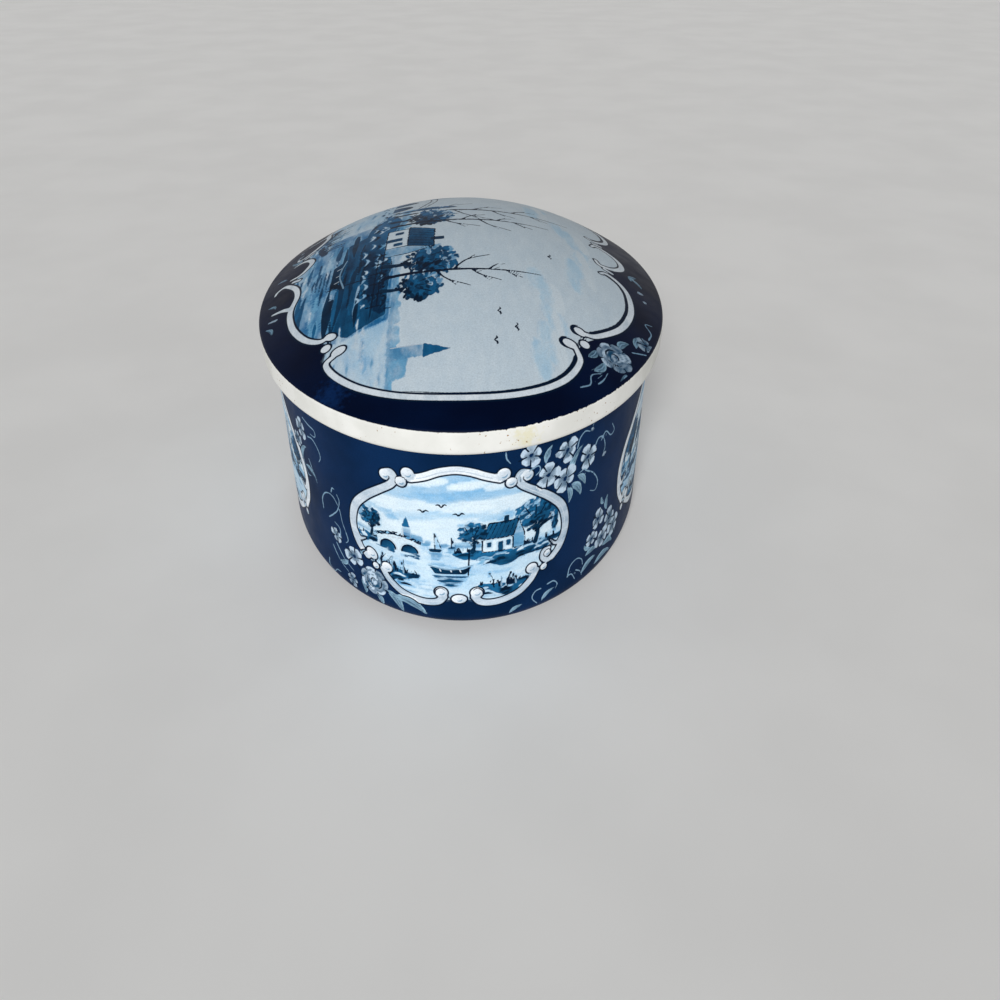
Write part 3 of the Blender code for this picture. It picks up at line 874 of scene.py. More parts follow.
def front_frame(sheet):
    """Scrollwork round the front picture: crown, side bands and foot scrolls, linked by pearls."""
    m = FRONT_MIDDLE
    crown = [(-10.6, 45.6), (-7.4, 46.6), (-3.8, 48.2), (0, 48.9), (3.6, 48.3), (7.0, 46.9), (10.4, 45.7)]
    band(sheet, mirrored(crown, m, 1), BAND_WIDTH, -1, 0.95)
    for side in (-1, 1):
        upper = [
            (16.9, 46.2), (15.5, 46.3), (14.8, 44.9), (15.7, 42.9), (19.4, 40.2), (23.6, 37.0), (27.2, 33.0),
            (28.7, 28.4), (28.6, 24.2), (27.2, 20.4), (24.9, 17.9),
        ]
        widths = [1.3, 1.7, 1.8, 1.8, 1.9, 2.1, 2.2, 2.2, 2.1, 2.0, 1.8]
        band(sheet, mirrored(upper, m, side), widths, -side, 0.52 if side < 0 else 0.36)
        foot = [(20.2, 15.6), (18.6, 13.0), (15.6, 10.3), (12.0, 8.9), (8.4, 8.4), (5.4, 9.0), (3.9, 10.8)]
        band(sheet, mirrored(foot, m, side), [1.6, 1.8, 1.85, 1.9, 1.9, 1.9, 1.8], -side, 0.42)
        for centre, radius in (
            ((17.1, 45.2), 1.45), ((11.2, 46.8), 1.6), ((18.9, 16.7), 1.5), ((4.5, 12.2), 1.6),
        ):
            knob(sheet, mirrored(centre, m, side), radius)
        for centre, radius in (((13.0, 44.2), 1.3), ((22.4, 15.8), 0.95)):
            pearl(sheet, mirrored(centre, m, side), radius)
        notch = [(16.6, 43.7), (16.0, 44.4), (16.1, 45.2)]
        sheet.pen("dark", mirrored(notch, m, side), [0.35, 0.3, 0.15])
        spiral = [(6.0, 10.9), (5.9, 12.6), (4.6, 13.6), (3.4, 12.9)]
        sheet.pen("dark", mirrored(spiral, m, side), [0.3, 0.35, 0.3, 0.15])
    knob(sheet, (m - 23.3, 19.4), (1.8, 1.45), -0.9)
    curl = [(24.9, 17.9), (23.3, 17.6), (21.9, 19.0), (22.2, 21.0), (23.8, 21.2)]
    band(sheet, mirrored(curl, m, 1), [1.6, 1.4, 1.2, 1.0, 1.0], -1, 0.45)
    pearl(sheet, (m + 23.4, 19.8), 0.9)
    pearl(sheet, (m, 10.2), 1.35, 1.4)
    flick_left = mirrored([(28.2, 25.0), (26.9, 22.8), (24.9, 23.6)], m, -1)
    sheet.stroke("white", flick_left, [1.2, 1.0, 0.25], 0.5)
    flick_right = mirrored([(28.6, 26.4), (27.7, 23.4), (26.0, 21.8), (24.0, 23.8)], m, 1)
    sheet.stroke("white", flick_right, [1.1, 1.0, 0.8, 0.25], 0.4)


def front_picture(sheet):
    """Lane by a stream: cottage and trees on the right, footbridge and spire on the left."""
    outline = smooth_path(front_outline(), 4, closed=True)
    sheet.area("paper", outline, 0.8)
    view = Picture(sheet, (FRONT_MIDDLE, 26.8), 11)
    view.area("sky", [(-32, 12), (32, 15), (32, 24), (-32, 24)], 0.35)
    for centre, width, height in (
        ((-14, 15.5), 22, 5), ((9, 16.0), 24, 5), ((20, 9.5), 16, 4), ((-22, 8), 12, 3.4),
    ):
        view.cloud(centre, width, height, 0.3)
    view.cloud((-2, 9.0), 20, 3.6, 0.7)
    view.area("sky", [(-32, 0), (32, 0), (32, -22), (-32, -22)], 0.85)
    view.ripples(-28, 28, -19, -0.6, 80, ("paper", "paper", "blue", "sky"), 9)
    view.grove(-28, 7, 0.0, 2.0, 0.6)
    view.spire((-12.5, 0.4), 7.4)
    view.sail((-5.5, -1.6), 5.2)
    view.sail((-1.4, -0.4), 3.0, "deep")
    view.shore(-1, 29, -1.4, 5.6)
    view.poplar((25.2, -1.0), 11.0)
    view.tree((19.6, -1.8), 13.0, 11.0)
    view.cottage((6.0, -2.0), 10.6, 8.6)
    view.tree((3.6, -1.8), 9.0, 6.4)
    view.shore(-29, -16, -1.0, 3.4)
    view.tree((-22.8, -1.0), 8.4, 6.6)
    view.bridge(-21.0, -9.0, -3.4, 4.6, 2)
    view.punt((-2.0, -8.0), 10.5)
    view.shore(-29, -10, -9.8, 5.4)
    view.reeds(-26, -13, -10.4, 5.0, 18)
    view.shore(5, 28, -12.6, 4.6)
    view.reeds(8, 24, -13.4, 4.6, 18)
    view.birds([(-3.5, 11.6), (0.5, 9.2), (-8.0, 9.6)], 1.4)
    sheet.clip(outline)


def side_outline(middle):
    """Edge of a long side picture."""
    half = [
        (0, 49.6), (10, 48.6), (18, 46.4), (22, 47.4), (29, 47.6), (37, 44.0), (43, 39.6), (48, 35.4),
        (50.6, 29.5), (50.2, 22.5), (46.8, 16.6), (40.0, 13.6), (32.0, 11.4), (24.0, 11.8), (18.0, 9.2),
        (9.0, 8.2), (0, 9.4),
    ]
    return both_halves(half, middle)


def side_frame(sheet, middle):
    """Scrollwork round a side picture: the same bands and pearls drawn out long."""
    crown = [(-16.0, 46.0), (-9.5, 48.4), (0, 49.6), (9.5, 48.4), (16.0, 46.0)]
    band(sheet, mirrored(crown, middle, 1), BAND_WIDTH, -1)
    sill = [(-15.0, 9.0), (-8.5, 8.0), (0, 9.2), (8.5, 8.0), (15.0, 9.0)]
    band(sheet, mirrored(sill, middle, 1), BAND_WIDTH, 1)
    for side in (-1, 1):
        upper = [
            (21.4, 45.6), (25.0, 47.8), (30.5, 47.2), (37.0, 43.8), (43.0, 39.6), (48.0, 35.2), (50.6, 29.4),
            (50.0, 22.6), (46.8, 17.4),
        ]
        band(sheet, mirrored(upper, middle, side), [1.5, 1.8, 1.9, 2.0, 2.1, 2.2, 2.2, 2.0, 1.7], -side)
        lower = [(43.0, 15.0), (37.6, 12.0), (31.0, 11.0), (24.6, 12.2), (21.0, 10.8)]
        band(sheet, mirrored(lower, middle, side), [1.6, 1.9, 1.9, 1.9, 1.5], -side)
        for centre in ((17.4, 46.9), (22.4, 44.4), (44.6, 18.6), (42.2, 16.8), (20.6, 12.6), (16.6, 10.6)):
            knob(sheet, mirrored(centre, middle, side), 1.5)
        for centre, radius in (((19.6, 44.9), 1.2), ((46.2, 14.8), 0.95), ((18.4, 8.6), 0.95)):
            pearl(sheet, mirrored(centre, middle, side), radius)
        flick = mirrored([(50.4, 27.0), (48.2, 24.0), (45.6, 26.0)], middle, side)
        sheet.stroke("white", flick, [1.2, 1.0, 0.25], 0.8)


def side_picture(sheet, middle, seed):
    """Wide river landscape: bridge, cottages and trees between two banks."""
    outline = smooth_path(side_outline(middle), 4, closed=True)
    sheet.area("paper", outline, 0.8)
    view = Picture(sheet, (middle, 28.0), seed)
    view.area("sky", [(-54, 13), (54, 15), (54, 24), (-54, 24)], 0.35)
    for centre, width, height in (
        ((-27, 12.0), 30, 5), ((4, 16.0), 34, 5), ((33, 11.5), 26, 5), ((-6, 8.5), 20, 3.5),
    ):
        view.cloud(centre, width, height, 0.35)
    view.area("sky", [(-54, 0), (54, 0), (54, -22), (-54, -22)], 0.85)
    view.ripples(-50, 50, -20, -0.8, 150, ("paper", "paper", "blue", "sky"), 12)
    view.grove(-50, 50, 0.0, 2.4, 0.6)
    view.spire((14.5, 0.4), 8.6)
    view.sail((-19.0, -3.2), 7.0)
    view.shore(-51, -26, -1.4, 5.0)
    view.shore(14, 51, -1.0, 4.6)
    view.bridge(-11.0, 15.0, -2.6, 6.4, 3)
    view.poplar((-48.0, -1.5), 10.0)
    view.tree((-42.0, -2.0), 14.5, 12.0)
    view.cottage((-36.0, -2.2), 12.0, 9.6)
    view.tree((-22.6, -2.2), 9.5, 6.6)
    view.cottage((21.0, -1.8), 9.6, 7.8)
    view.poplar((33.0, -1.4), 12.5)
    view.bare_tree((36.6, -1.6), 14.0)
    view.tree((43.0, -2.0), 12.0, 9.5)
    view.fence(-25.0, -16.0, -3.8, 1.9)
    view.punt((2.0, -10.0), 12.0)
    view.shore(-48, -18, -12.4, 5.4)
    view.reeds(-44, -22, -13.0, 6.4, 40)
    view.shore(14, 42, -14.6, 4.4)
    view.reeds(18, 38, -15.6, 5.5, 34)
    view.birds([(-3.0, 12.0), (1.6, 9.2), (5.4, 12.2), (27.0, 9.6)], 1.6)
    sheet.clip(outline)


def spray(sheet, at, leaves, blossoms, stems, roses=(), buds=(), light=0.85, thick=0.45):
    """Leaves, flowers, stems and buds by their places and shapes. The function at moves the places."""
    for root, tip, width in leaves:
        leaf(sheet, at(root), at(tip), width, light)
    for draw, flowers in ((blossom, blossoms), (rose, roses)):
        for centre, *shape in flowers:
            draw(sheet, at(centre), *shape)
    for path in stems:
        tendril(sheet, [at(p) for p in path], thick)
    for centre, size, turn in buds:
        sprig(sheet, at(centre), size, turn)


# Flowers that hang from under the lid beside a picture
HIGH_SPRAY = dict(
    leaves=(
        ((28.8, 41.6), (32.4, 48.0), 1.5),
        ((31.0, 39.4), (33.9, 35.4), 1.7),
        ((29.0, 37.8), (32.4, 33.0), 2.1),
        ((27.7, 37.4), (28.2, 32.4), 1.6),
        ((20.6, 47.0), (22.4, 51.6), 1.3),
        ((28.0, 43.6), (30.0, 45.6), 1.0),
    ),
    blossoms=(
        ((16.5, 50.4), 3.1, 0.2),
        ((26.9, 48.4), 3.2, 0.9),
        ((34.4, 43.4), 3.3, 0.5),
        ((21.4, 43.4), 3.4, 0.1),
        ((26.6, 40.4), 3.5, 0.7),
    ),
    stems=(
        [(30.2, 47.4), (30.8, 49.8), (32.6, 51.2), (34.8, 50.4), (35.8, 52.0)],
        [(37.1, 45.2), (38.3, 46.8), (40.4, 46.2), (41.7, 43.0), (40.8, 40.6)],
        [(39.6, 45.6), (41.6, 47.2), (44.2, 44.9), (46.0, 45.6), (44.6, 48.0)],
        [(33.6, 39.8), (37.2, 37.2), (39.4, 33.8), (38.6, 31.4), (36.2, 32.4)],
        [(10.3, 52.4), (10.5, 50.8), (11.4, 49.4)],
        [(16.2, 46.2), (18.4, 47.0), (19.1, 45.6), (17.8, 44.4)],
        [(20.4, 47.6), (21.4, 48.6), (21.8, 50.2)],
        [(31.4, 39.8), (33.4, 40.2), (35.2, 38.2)],
    ),
    thick=0.5,
    buds=(((41.4, 41.4), 1.1, -1.3), ((35.0, 50.2), 0.9, 0.8), ((23.6, 47.6), 0.9, 1.2)),
)

# Flowers and long leaves that climb from the foot on the right of a picture
LOW_SPRAY = dict(
    leaves=(
        ((35.0, 6.0), (41.6, 8.4), 1.8),
        ((36.4, 11.2), (42.2, 10.6), 1.6),
        ((41.2, 5.4), (50.5, 4.6), 1.9),
        ((45.6, 21.4), (45.8, 26.4), 1.6),
        ((20.8, 4.4), (25.0, 7.0), 1.2),
        ((11.6, 3.4), (15.2, 5.4), 1.2),
        ((43.6, 24.4), (42.2, 27.4), 1.2),
        ((46.4, 8.8), (53.4, 9.6), 1.9),
        ((45.0, 9.4), (51.6, 6.8), 1.7),
        ((38.2, 12.8), (35.4, 15.2), 1.3),
    ),
    blossoms=(
        ((41.3, 20.6), 2.9, 0.5, 0.85),
        ((47.8, 17.0), 3.4, 0.2, 0.85),
        ((44.2, 12.8), 3.2, 0.9, 0.85),
        ((38.8, 15.6), 2.4, 0.0, 0.85),
        ((51.0, 12.8), 3.3, 0.6, 0.85),
    ),
    stems=(
        [(29.4, 8.0), (30.2, 11.2), (32.6, 12.4), (34.8, 11.0), (35.4, 8.8)],
        [(20.8, 8.7), (18.8, 8.4), (17.9, 6.4), (19.6, 3.8)],
        [(22.4, 9.2), (24.4, 9.4), (25.8, 7.8), (25.2, 6.4)],
        [(29.0, 8.2), (30.9, 8.2), (32.4, 5.6)],
        [(32.6, 8.6), (34.4, 7.2), (35.2, 5.4)],
    ),
    thick=0.5,
)

# A rose with small flowers, trailing leaves and fine tendrils, on the left of a picture
ROSE_SPRAY = dict(
    leaves=(
        ((-20.9, 8.8), (-16.6, 2.6), 2.3),
        ((-18.4, 8.0), (-9.6, 3.6), 2.6),
        ((-29.4, 8.4), (-28.4, 4.2), 1.7),
        ((-24.2, 6.2), (-23.0, 2.6), 1.7),
        ((-34.4, 12.0), (-38.4, 10.2), 1.5),
        ((-28.6, 17.2), (-26.2, 19.6), 1.2),
    ),
    blossoms=(((-38.2, 18.4), 2.3, 0.4, 0.8), ((-31.4, 15.0), 3.4, 0.7), ((-33.2, 6.2), 2.1, 0.1, 0.55)),
    roses=(((-25.0, 10.0), 4.6, 0.3),),
    stems=(
        [
            (-43.4, 24.2), (-43.2, 27.6), (-40.9, 30.4), (-37.7, 30.9), (-35.4, 28.0), (-34.8, 24.4),
            (-33.6, 21.2),
        ],
        [(-40.9, 22.8), (-38.6, 24.8), (-36.2, 27.4), (-35.0, 30.6), (-35.8, 32.4)],
        [(-38.2, 32.0), (-37.4, 33.6), (-36.2, 33.2)],
        [(-40.8, 13.8), (-39.2, 11.4), (-37.4, 9.6), (-34.6, 8.0)],
        [(-44.2, 7.2), (-44.4, 4.6), (-42.2, 3.6), (-40.4, 5.4), (-38.4, 5.6)],
        [(-36.6, 18.4), (-36.2, 21.4), (-38.4, 22.6)],
        [(-38.8, 15.6), (-36.0, 12.0), (-32.2, 9.6)],
        [(-33.6, 21.2), (-33.2, 19.2), (-34.4, 17.8)],
    ),
)

# Loose stems and half-opened flowers high on the left of a picture
STEM_SPRAY = dict(
    leaves=(((-53.6, 34.2), (-49.4, 39.8), 1.6), ((-51.4, 33.4), (-44.8, 31.6), 1.3)),
    blossoms=(((-51.4, 44.4), 3.0, 0.5, 0.75), ((-55.2, 39.4), 2.6, 0.1, 0.7)),
    stems=(
        [(-49.0, 48.6), (-45.8, 48.0), (-42.8, 47.6), (-42.8, 45.8), (-45.4, 45.6)],
        [(-47.2, 44.0), (-44.4, 44.4), (-42.0, 42.6), (-41.3, 40.6), (-42.4, 38.8)],
        [(-53.2, 37.6), (-52.2, 33.0), (-50.4, 31.0), (-48.6, 31.4)],
        [(-52.8, 36.4), (-51.0, 38.8), (-49.2, 39.8)],
        [(-48.6, 36.6), (-46.8, 33.8), (-45.2, 31.0)],
    ),
)


def wall_print(lengths, heights):
    """The whole decoration of the wall: front picture, two side pictures, and sprays between them.

    The back end has no picture, because the seam runs there. The sprays beside it are the front's, mirrored.
    """
    sheet = Print(lengths, heights)
    half_round = HALF_ROUND / MM
    front_picture(sheet)
    front_frame(sheet)
    for side, seed in ((-1, 23), (1, 37)):
        middle = side * half_round / 2
        side_picture(sheet, middle, seed)
        side_frame(sheet, middle)
    for rows in (HIGH_SPRAY, LOW_SPRAY, ROSE_SPRAY, STEM_SPRAY):
        spray(sheet, lambda p: p, **rows)
        spray(sheet, lambda p: (math.copysign(half_round, p[0]) - p[0], p[1]), **rows)
    return sheet.fields()


# The lid's decoration, seen with the picture upright: across runs towards -Y and up towards +X

LID_RING = 0.5


def lid_outline():
    """Edge of the lid's picture, down the middle of its frame."""
    points = [
        (0, -42.4), (4.6, -43.4), (8.6, -45.6), (12.6, -45.8), (18.0, -43.7), (24.0, -43.8), (31.2, -43.9),
        (38.0, -41.8), (44.4, -37.6), (47.6, -33.0), (51.0, -31.6), (54.8, -31.8), (61.0, -27.9),
        (66.4, -21.8), (70.2, -13.0), (71.7, -2.1), (71.0, 8.9), (68.0, 17.9), (63.0, 24.6), (56.6, 27.8),
        (51.4, 28.6), (46.4, 33.8), (39.0, 40.3), (30.0, 44.0), (21.4, 44.6), (15.6, 42.6), (12.4, 40.0),
        (8.4, 41.6), (3.0, 45.2),
        (-2.4, 44.8), (-6.6, 41.4), (-10.4, 39.8), (-14.6, 41.8), (-20.4, 43.8), (-29.0, 43.2),
        (-38.4, 39.6), (-46.0, 33.0), (-51.4, 28.4), (-56.6, 27.6), (-63.0, 24.4), (-68.0, 17.8),
        (-71.0, 8.6), (-71.7, -2.1), (-70.2, -13.0), (-66.4, -21.8), (-61.0, -27.8), (-54.8, -31.4),
        (-51.0, -31.0), (-47.0, -32.0), (-43.6, -36.0), (-37.0, -39.8), (-30.4, -41.2), (-24.0, -40.8),
        (-18.0, -40.6), (-12.6, -42.6), (-8.6, -44.6), (-4.6, -43.4),
    ]
    return np.array(points, float)


def lid_frame(sheet):
    """Scrollwork round the lid's picture: two end bands, four side lobes and two small middle scrolls."""
    plain = {"tone": 0.92, "veined": False}
    for side in (-1, 1):
        end = [
            (53.6, -29.4), (55.8, -31.4), (61.0, -28.2), (66.4, -21.8), (70.2, -13.0), (71.7, -2.1),
            (71.0, 8.9), (68.0, 17.9), (63.2, 24.4), (57.0, 28.0), (53.0, 27.4),
        ]
        band(sheet, mirrored(end, 0, side), [1.1, 1.25] + [1.4] * 7 + [1.3, 1.15], side, **plain)
        for centre, turn in (((52.6, -28.6), -1.2), ((51.9, 25.9), 1.2)):
            knob(sheet, mirrored(centre, 0, side), (1.75, 1.25), side * turn, False)
        for centre in ((50.2, -32.0), (50.7, 29.7)):
            pearl(sheet, mirrored(centre, 0, side), 1.2, ring=LID_RING, shaded=False)
        for centre in ((51.7, 25.4), (46.4, 28.5)):
            angles = (-3.1, -2.35, -1.57, -0.8, -0.1)
            shadow = [around(centre, 1.8, angle) for angle in angles]
            sheet.pen("dark", mirrored(shadow, 0, side), [0.3, 0.6, 0.7, 0.6, 0.3])
        heavy = shifted(smooth_path(end[4:]), 1.2)
        heavy = mirrored(heavy[:-4], 0, side)
        sheet.pen("dark", heavy, np.linspace(0.1, 1.1, len(heavy)), curved=False)
    lobe_widths = [1.15, 1.3, 1.45, 1.5, 1.5, 1.5, 1.45, 1.4, 1.3, 1.1, 0.9, 0.6]
    bottom_near = [
        (46.4, -31.4), (46.8, -34.2), (43.6, -38.2), (37.4, -41.9), (31.2, -43.8), (26.4, -44.2),
        (21.0, -43.4), (16.0, -44.4), (11.6, -46.8), (9.0, -49.0), (9.6, -51.0), (11.4, -51.4),
    ]
    band(sheet, bottom_near, lobe_widths, -1, **plain)
    bottom_far = [
        (-46.4, -30.2), (-46.4, -32.8), (-43.4, -36.2), (-37.0, -39.6), (-31.0, -41.0), (-26.0, -41.2),
        (-20.6, -40.4), (-15.6, -41.4), (-11.4, -43.8), (-9.2, -46.0), (-9.8, -48.0), (-11.6, -48.4),
    ]
    band(sheet, bottom_far, lobe_widths, 1, **plain)
    top_widths = [1.15, 1.35, 1.5, 1.6, 1.5, 1.35, 1.15, 0.9]
    top_near = [
        (47.0, 29.6), (46.2, 33.2), (39.6, 39.8), (30.4, 43.8), (21.6, 44.6), (16.2, 43.0), (13.4, 39.6),
    ]
    band(sheet, top_near + [(14.6, 37.6)], top_widths, 1, **plain)
    top_far = [
        (-47.0, 28.8), (-46.0, 32.4), (-39.0, 39.0), (-29.6, 42.8), (-20.4, 43.6), (-14.8, 42.0),
        (-11.4, 38.8),
    ]
    band(sheet, top_far + [(-12.4, 36.6)], top_widths, -1, **plain)
    for lobe, side in ((top_near, 1), (top_far, -1)):
        sheet.pen("dark", shifted(smooth_path(lobe), 1.2 * side)[4:], 0.9, curved=False)
    for centre, turn in (
        ((46.6, -31.2), 1.0), ((46.7, 28.8), -2.2), ((-46.6, -30.2), -1.0), ((-46.7, 28.0), 2.2),
    ):
        knob(sheet, centre, (1.6, 1.1), turn, False)
    low_scroll = [
        (6.4, -47.6), (6.6, -45.0), (4.2, -43.0), (0.6, -42.2), (-3.0, -43.6), (-5.0, -46.2), (-4.6, -48.4),
    ]
    band(sheet, low_scroll, [0.7, 1.1, 1.4, 1.5, 1.4, 1.1, 0.7], 1, **plain)
    high_scroll = [
        (6.6, 37.0), (9.0, 38.2), (7.8, 42.0), (3.6, 45.0), (-1.4, 45.0), (-5.2, 42.2), (-6.6, 38.6),
    ]
    band(sheet, high_scroll + [(-4.4, 37.2)], [0.8, 1.1, 1.4, 1.6, 1.6, 1.4, 1.1, 0.8], -1, **plain)
    for start, end in (
        ((9.0, -46.4), (10.2, -44.4)),
        ((-7.2, -45.4), (-8.6, -43.4)),
        ((10.4, 39.2), (11.2, 41.2)),
        ((-8.2, 38.2), (-9.0, 40.4)),
    ):
        sheet.stroke("white", [start, end], 1.1, 0.8, curved=False)
    for branch in (
        [(26.0, -44.6), (24.4, -47.0), (23.4, -50.0)], [(-26.0, -41.4), (-24.4, -44.0), (-23.4, -47.0)],
    ):
        sheet.stroke("white", branch, [1.5, 1.2, 0.7], 0.7)
    sheet.stroke("petal", [(27.6, -48.2), (26.8, -50.4)], [0.9, 0.6], 0.6, curved=False)


def lid_picture(sheet):
    """River landscape: deep water along the foot, a bridge, a farm under tall trees and a far town."""
    outline = smooth_path(lid_outline(), 4, closed=True)
    sheet.area("paper", outline, 0.6)
    view = Picture(sheet, (0, -17), 5)
    for centre, width, height in (
        ((-34, 38), 30, 6), ((8, 47), 34, 7), ((44, 38), 30, 6), ((-54, 22), 20, 5),
    ):
        view.cloud(centre, width, height, 1.0)
    view.area("sky", [(-76, 0.5), (76, 0.5), (76, -30), (-76, -30)], 0.8)
    view.area("blue", [(-8, 0), (46, 0), (50, -12), (44, -30), (-8, -30)], 0.1)
    view.area("deep", [(-4, -1), (44, -1), (49, -10), (46, -15), (2, -14)], 0.4)
    view.ripples(-10, 48, -29, -14, 80, ("blue", "deep", "blue", "blue"), 26)
    view.ripples(-8, 50, -17, -1, 60, ("deep", "ink", "deep", "ink", "blue"), 26)
    view.ripples(-72, -6, -29, -3, 60, ("paper", "sky", "paper", "blue"), 16)
    view.ripples(-4, 40, -27, -16, 16, ("sky", "paper"), 10)
    view.ripples(42, 72, -20, -1, 34, ("sky", "blue", "paper"), 12)
    view.grove(-72, 72, 0.4, 3.6, 0.75)
    view.spire((58, 1.0), 14, 0.75)
    view.spire((-42, 0.4), 14, 0.6)
    view.shore(-24, 42, -1.6, 9.0)
    view.shore(-72, -46, -1.0, 6.5)
    view.bridge(-50.0, -20.0, -3.6, 11.0, 3)
    view.tree((-62.0, -1.5), 16.0, 13.0)
    view.poplar((-53.0, -1.8), 18.0)
    view.bare_tree((-14.0, -2.0), 50.0)
    view.poplar((-18.5, -1.8), 18.0)
    view.tree((-8.0, -2.6), 17.0, 15.0)
    view.bare_tree((-3.0, -2.4), 44.0)
    view.tree((23.0, -2.8), 19.0, 17.0)
    view.cottage((1.0, -3.0), 17.0, 13.0)
    view.tree((34.5, -2.6), 15.0, 12.0)
    view.bare_tree((29.0, -2.4), 40.0)
    view.fence(16.0, 40.0, -6.0, 3.6)
    view.punt((20.0, -16.0), 15.0)
    view.shore(-26, 0, -21.0, 6.0)
    view.reeds(-24, -2, -22.4, 8.0, 26)
    view.birds([(45, 26), (50, 30), (55, 25), (16, 40)], 1.5)
    sheet.clip(outline)


# Rose and loose leaves on the lid's dark border
LID_SPRAY = dict(
    leaves=(
        ((54.6, 34.2), (58.4, 30.6), 1.8),
        ((51.4, 32.4), (54.4, 29.8), 1.7),
        ((47.6, 38.6), (44.0, 41.6), 1.9),
        ((55.6, 39.4), (58.6, 37.4), 1.5),
        ((44.2, 43.4), (38.6, 46.2), 1.6),
        ((9.0, 47.0), (4.4, 49.4), 1.6),
        ((7.0, 46.8), (10.8, 50.0), 1.3),
    ),
    blossoms=(((41.2, 46.4), 2.6, 0.4, 0.5),),
    roses=(((51.4, 37.0), 4.6, 0.5, 0.8),),
    stems=(
        [(64.6, 27.4), (62.8, 30.0), (60.0, 30.4), (58.4, 33.0)],
        [(62.0, 31.8), (60.4, 33.2), (57.6, 34.6)],
        [(38.0, 47.6), (34.6, 48.8), (31.6, 47.6), (30.4, 49.8)],
        [(55.6, 39.6), (57.6, 38.6), (60.2, 39.0)],
        [(46.8, 42.0), (43.4, 49.0), (40.4, 50.6)],
    ),
    buds=(((14.0, 48.4), 1.2, 0.6), ((19.0, 49.0), 0.9, 1.4)),
    light=0.6,
)


def lid_sprays(sheet):
    """The spray at both ends of the lid, turned half round from one to the other, and three small leaves."""
    spray(sheet, lambda p: p, **LID_SPRAY)
    spray(sheet, lambda p: (-p[0], -p[1]), **LID_SPRAY)
    for root, tip in (
        ((30.0, -50.6), (34.6, -48.4)), ((18.0, -52.0), (21.0, -49.4)), ((2.0, -52.4), (4.4, -49.0)),
    ):
        leaf(sheet, root, tip, 1.0, 0.4)


def lid_print(spots):
    """The whole decoration of the lid."""
    sheet = Print(-spots[..., 1], spots[..., 0])
    lid_picture(sheet)
    lid_frame(sheet)
    lid_sprays(sheet)
    return sheet.fields()


# Materials


def add(tree, kind, inputs=None, **settings):
    """Adds a node with its settings, and fills its inputs with values or with other nodes' outputs."""
    node = tree.nodes.new(kind)
    for name, value in settings.items():
        setattr(node, name, value)
    for socket, value in (inputs or {}).items():
        if isinstance(value, bpy.types.NodeSocket):
            tree.links.new(value, node.inputs[socket])
        else:
            node.inputs[socket].default_value = value
    return node


def new_material(name, **principled):
    """A material with its node tree and shader, whose constant inputs are set by name."""
    material = bpy.data.materials.new(name)
    material.use_nodes = True
    tree = material.node_tree
    shader = tree.nodes["Principled BSDF"]
    for socket, value in principled.items():
        shader.inputs[socket.replace("_", " ")].default_value = value
    return material, tree, shader


def noise(tree, place, size, detail, roughness=0.5):
    """Noise whose features are about the given size in metres."""
    inputs = {"Vector": place, "Scale": 1 / size, "Detail": detail, "Roughness": roughness}
    return add(tree, "ShaderNodeTexNoise", inputs).outputs["Fac"]


def span(tree, value, low, high, to_low=0.0, to_high=1.0, smooth=True):
    """Maps a value from one range to another, clamped."""
    kind = "SMOOTHSTEP" if smooth else "LINEAR"
    inputs = {0: value, 1: low, 2: high, 3: to_low, 4: to_high}
    return add(tree, "ShaderNodeMapRange", inputs, interpolation_type=kind).outputs[0]


def maths(tree, operation, *values):
    """A calculation on one to three values."""
    return add(tree, "ShaderNodeMath", dict(enumerate(values)), operation=operation).outputs[0]


def mixed(tree, share, a, b, blend="MIX"):
    """Mix of two colours, the second by the given share. A colour is a socket or a hex code."""
    a, b = (linear(c) if isinstance(c, str) else c for c in (a, b))
    node = add(tree, "ShaderNodeMix", {0: share, 6: a, 7: b}, data_type="RGBA", blend_type=blend)
    return node.outputs[2]


def field(tree, name):
    """A number that the mesh carries."""
    return add(tree, "ShaderNodeAttribute", attribute_name=name).outputs["Fac"]


# Each ink: its dark and its light colour, the softness of its edge and how much the brush frays it, in mm
INK_FINISH = {
    "paper": ("BCD6E8", "E6F1F8", 0.10, 0.0),
    "sky": ("72AEDA", "BEDBEE", 0.80, 0.8),
    "blue": ("1F6A9E", "7CB8DC", 0.25, 0.45),
    "deep": ("062A48", "1F6A9A", 0.13, 0.3),
    "ink": ("03162A", "0B3C5E", 0.09, 0.12),
    "leaf": ("0A3250", "96BCD2", 0.08, 0.12),
    "petal": ("184868", "BED3E6", 0.09, 0.16),
    "white": ("7C9CB6", "EDF4FA", 0.09, 0.05),
}
PEN_COLOURS = {"dark": "04182F", "grey": "C2CFDB", "pale": "7FA1BB"}


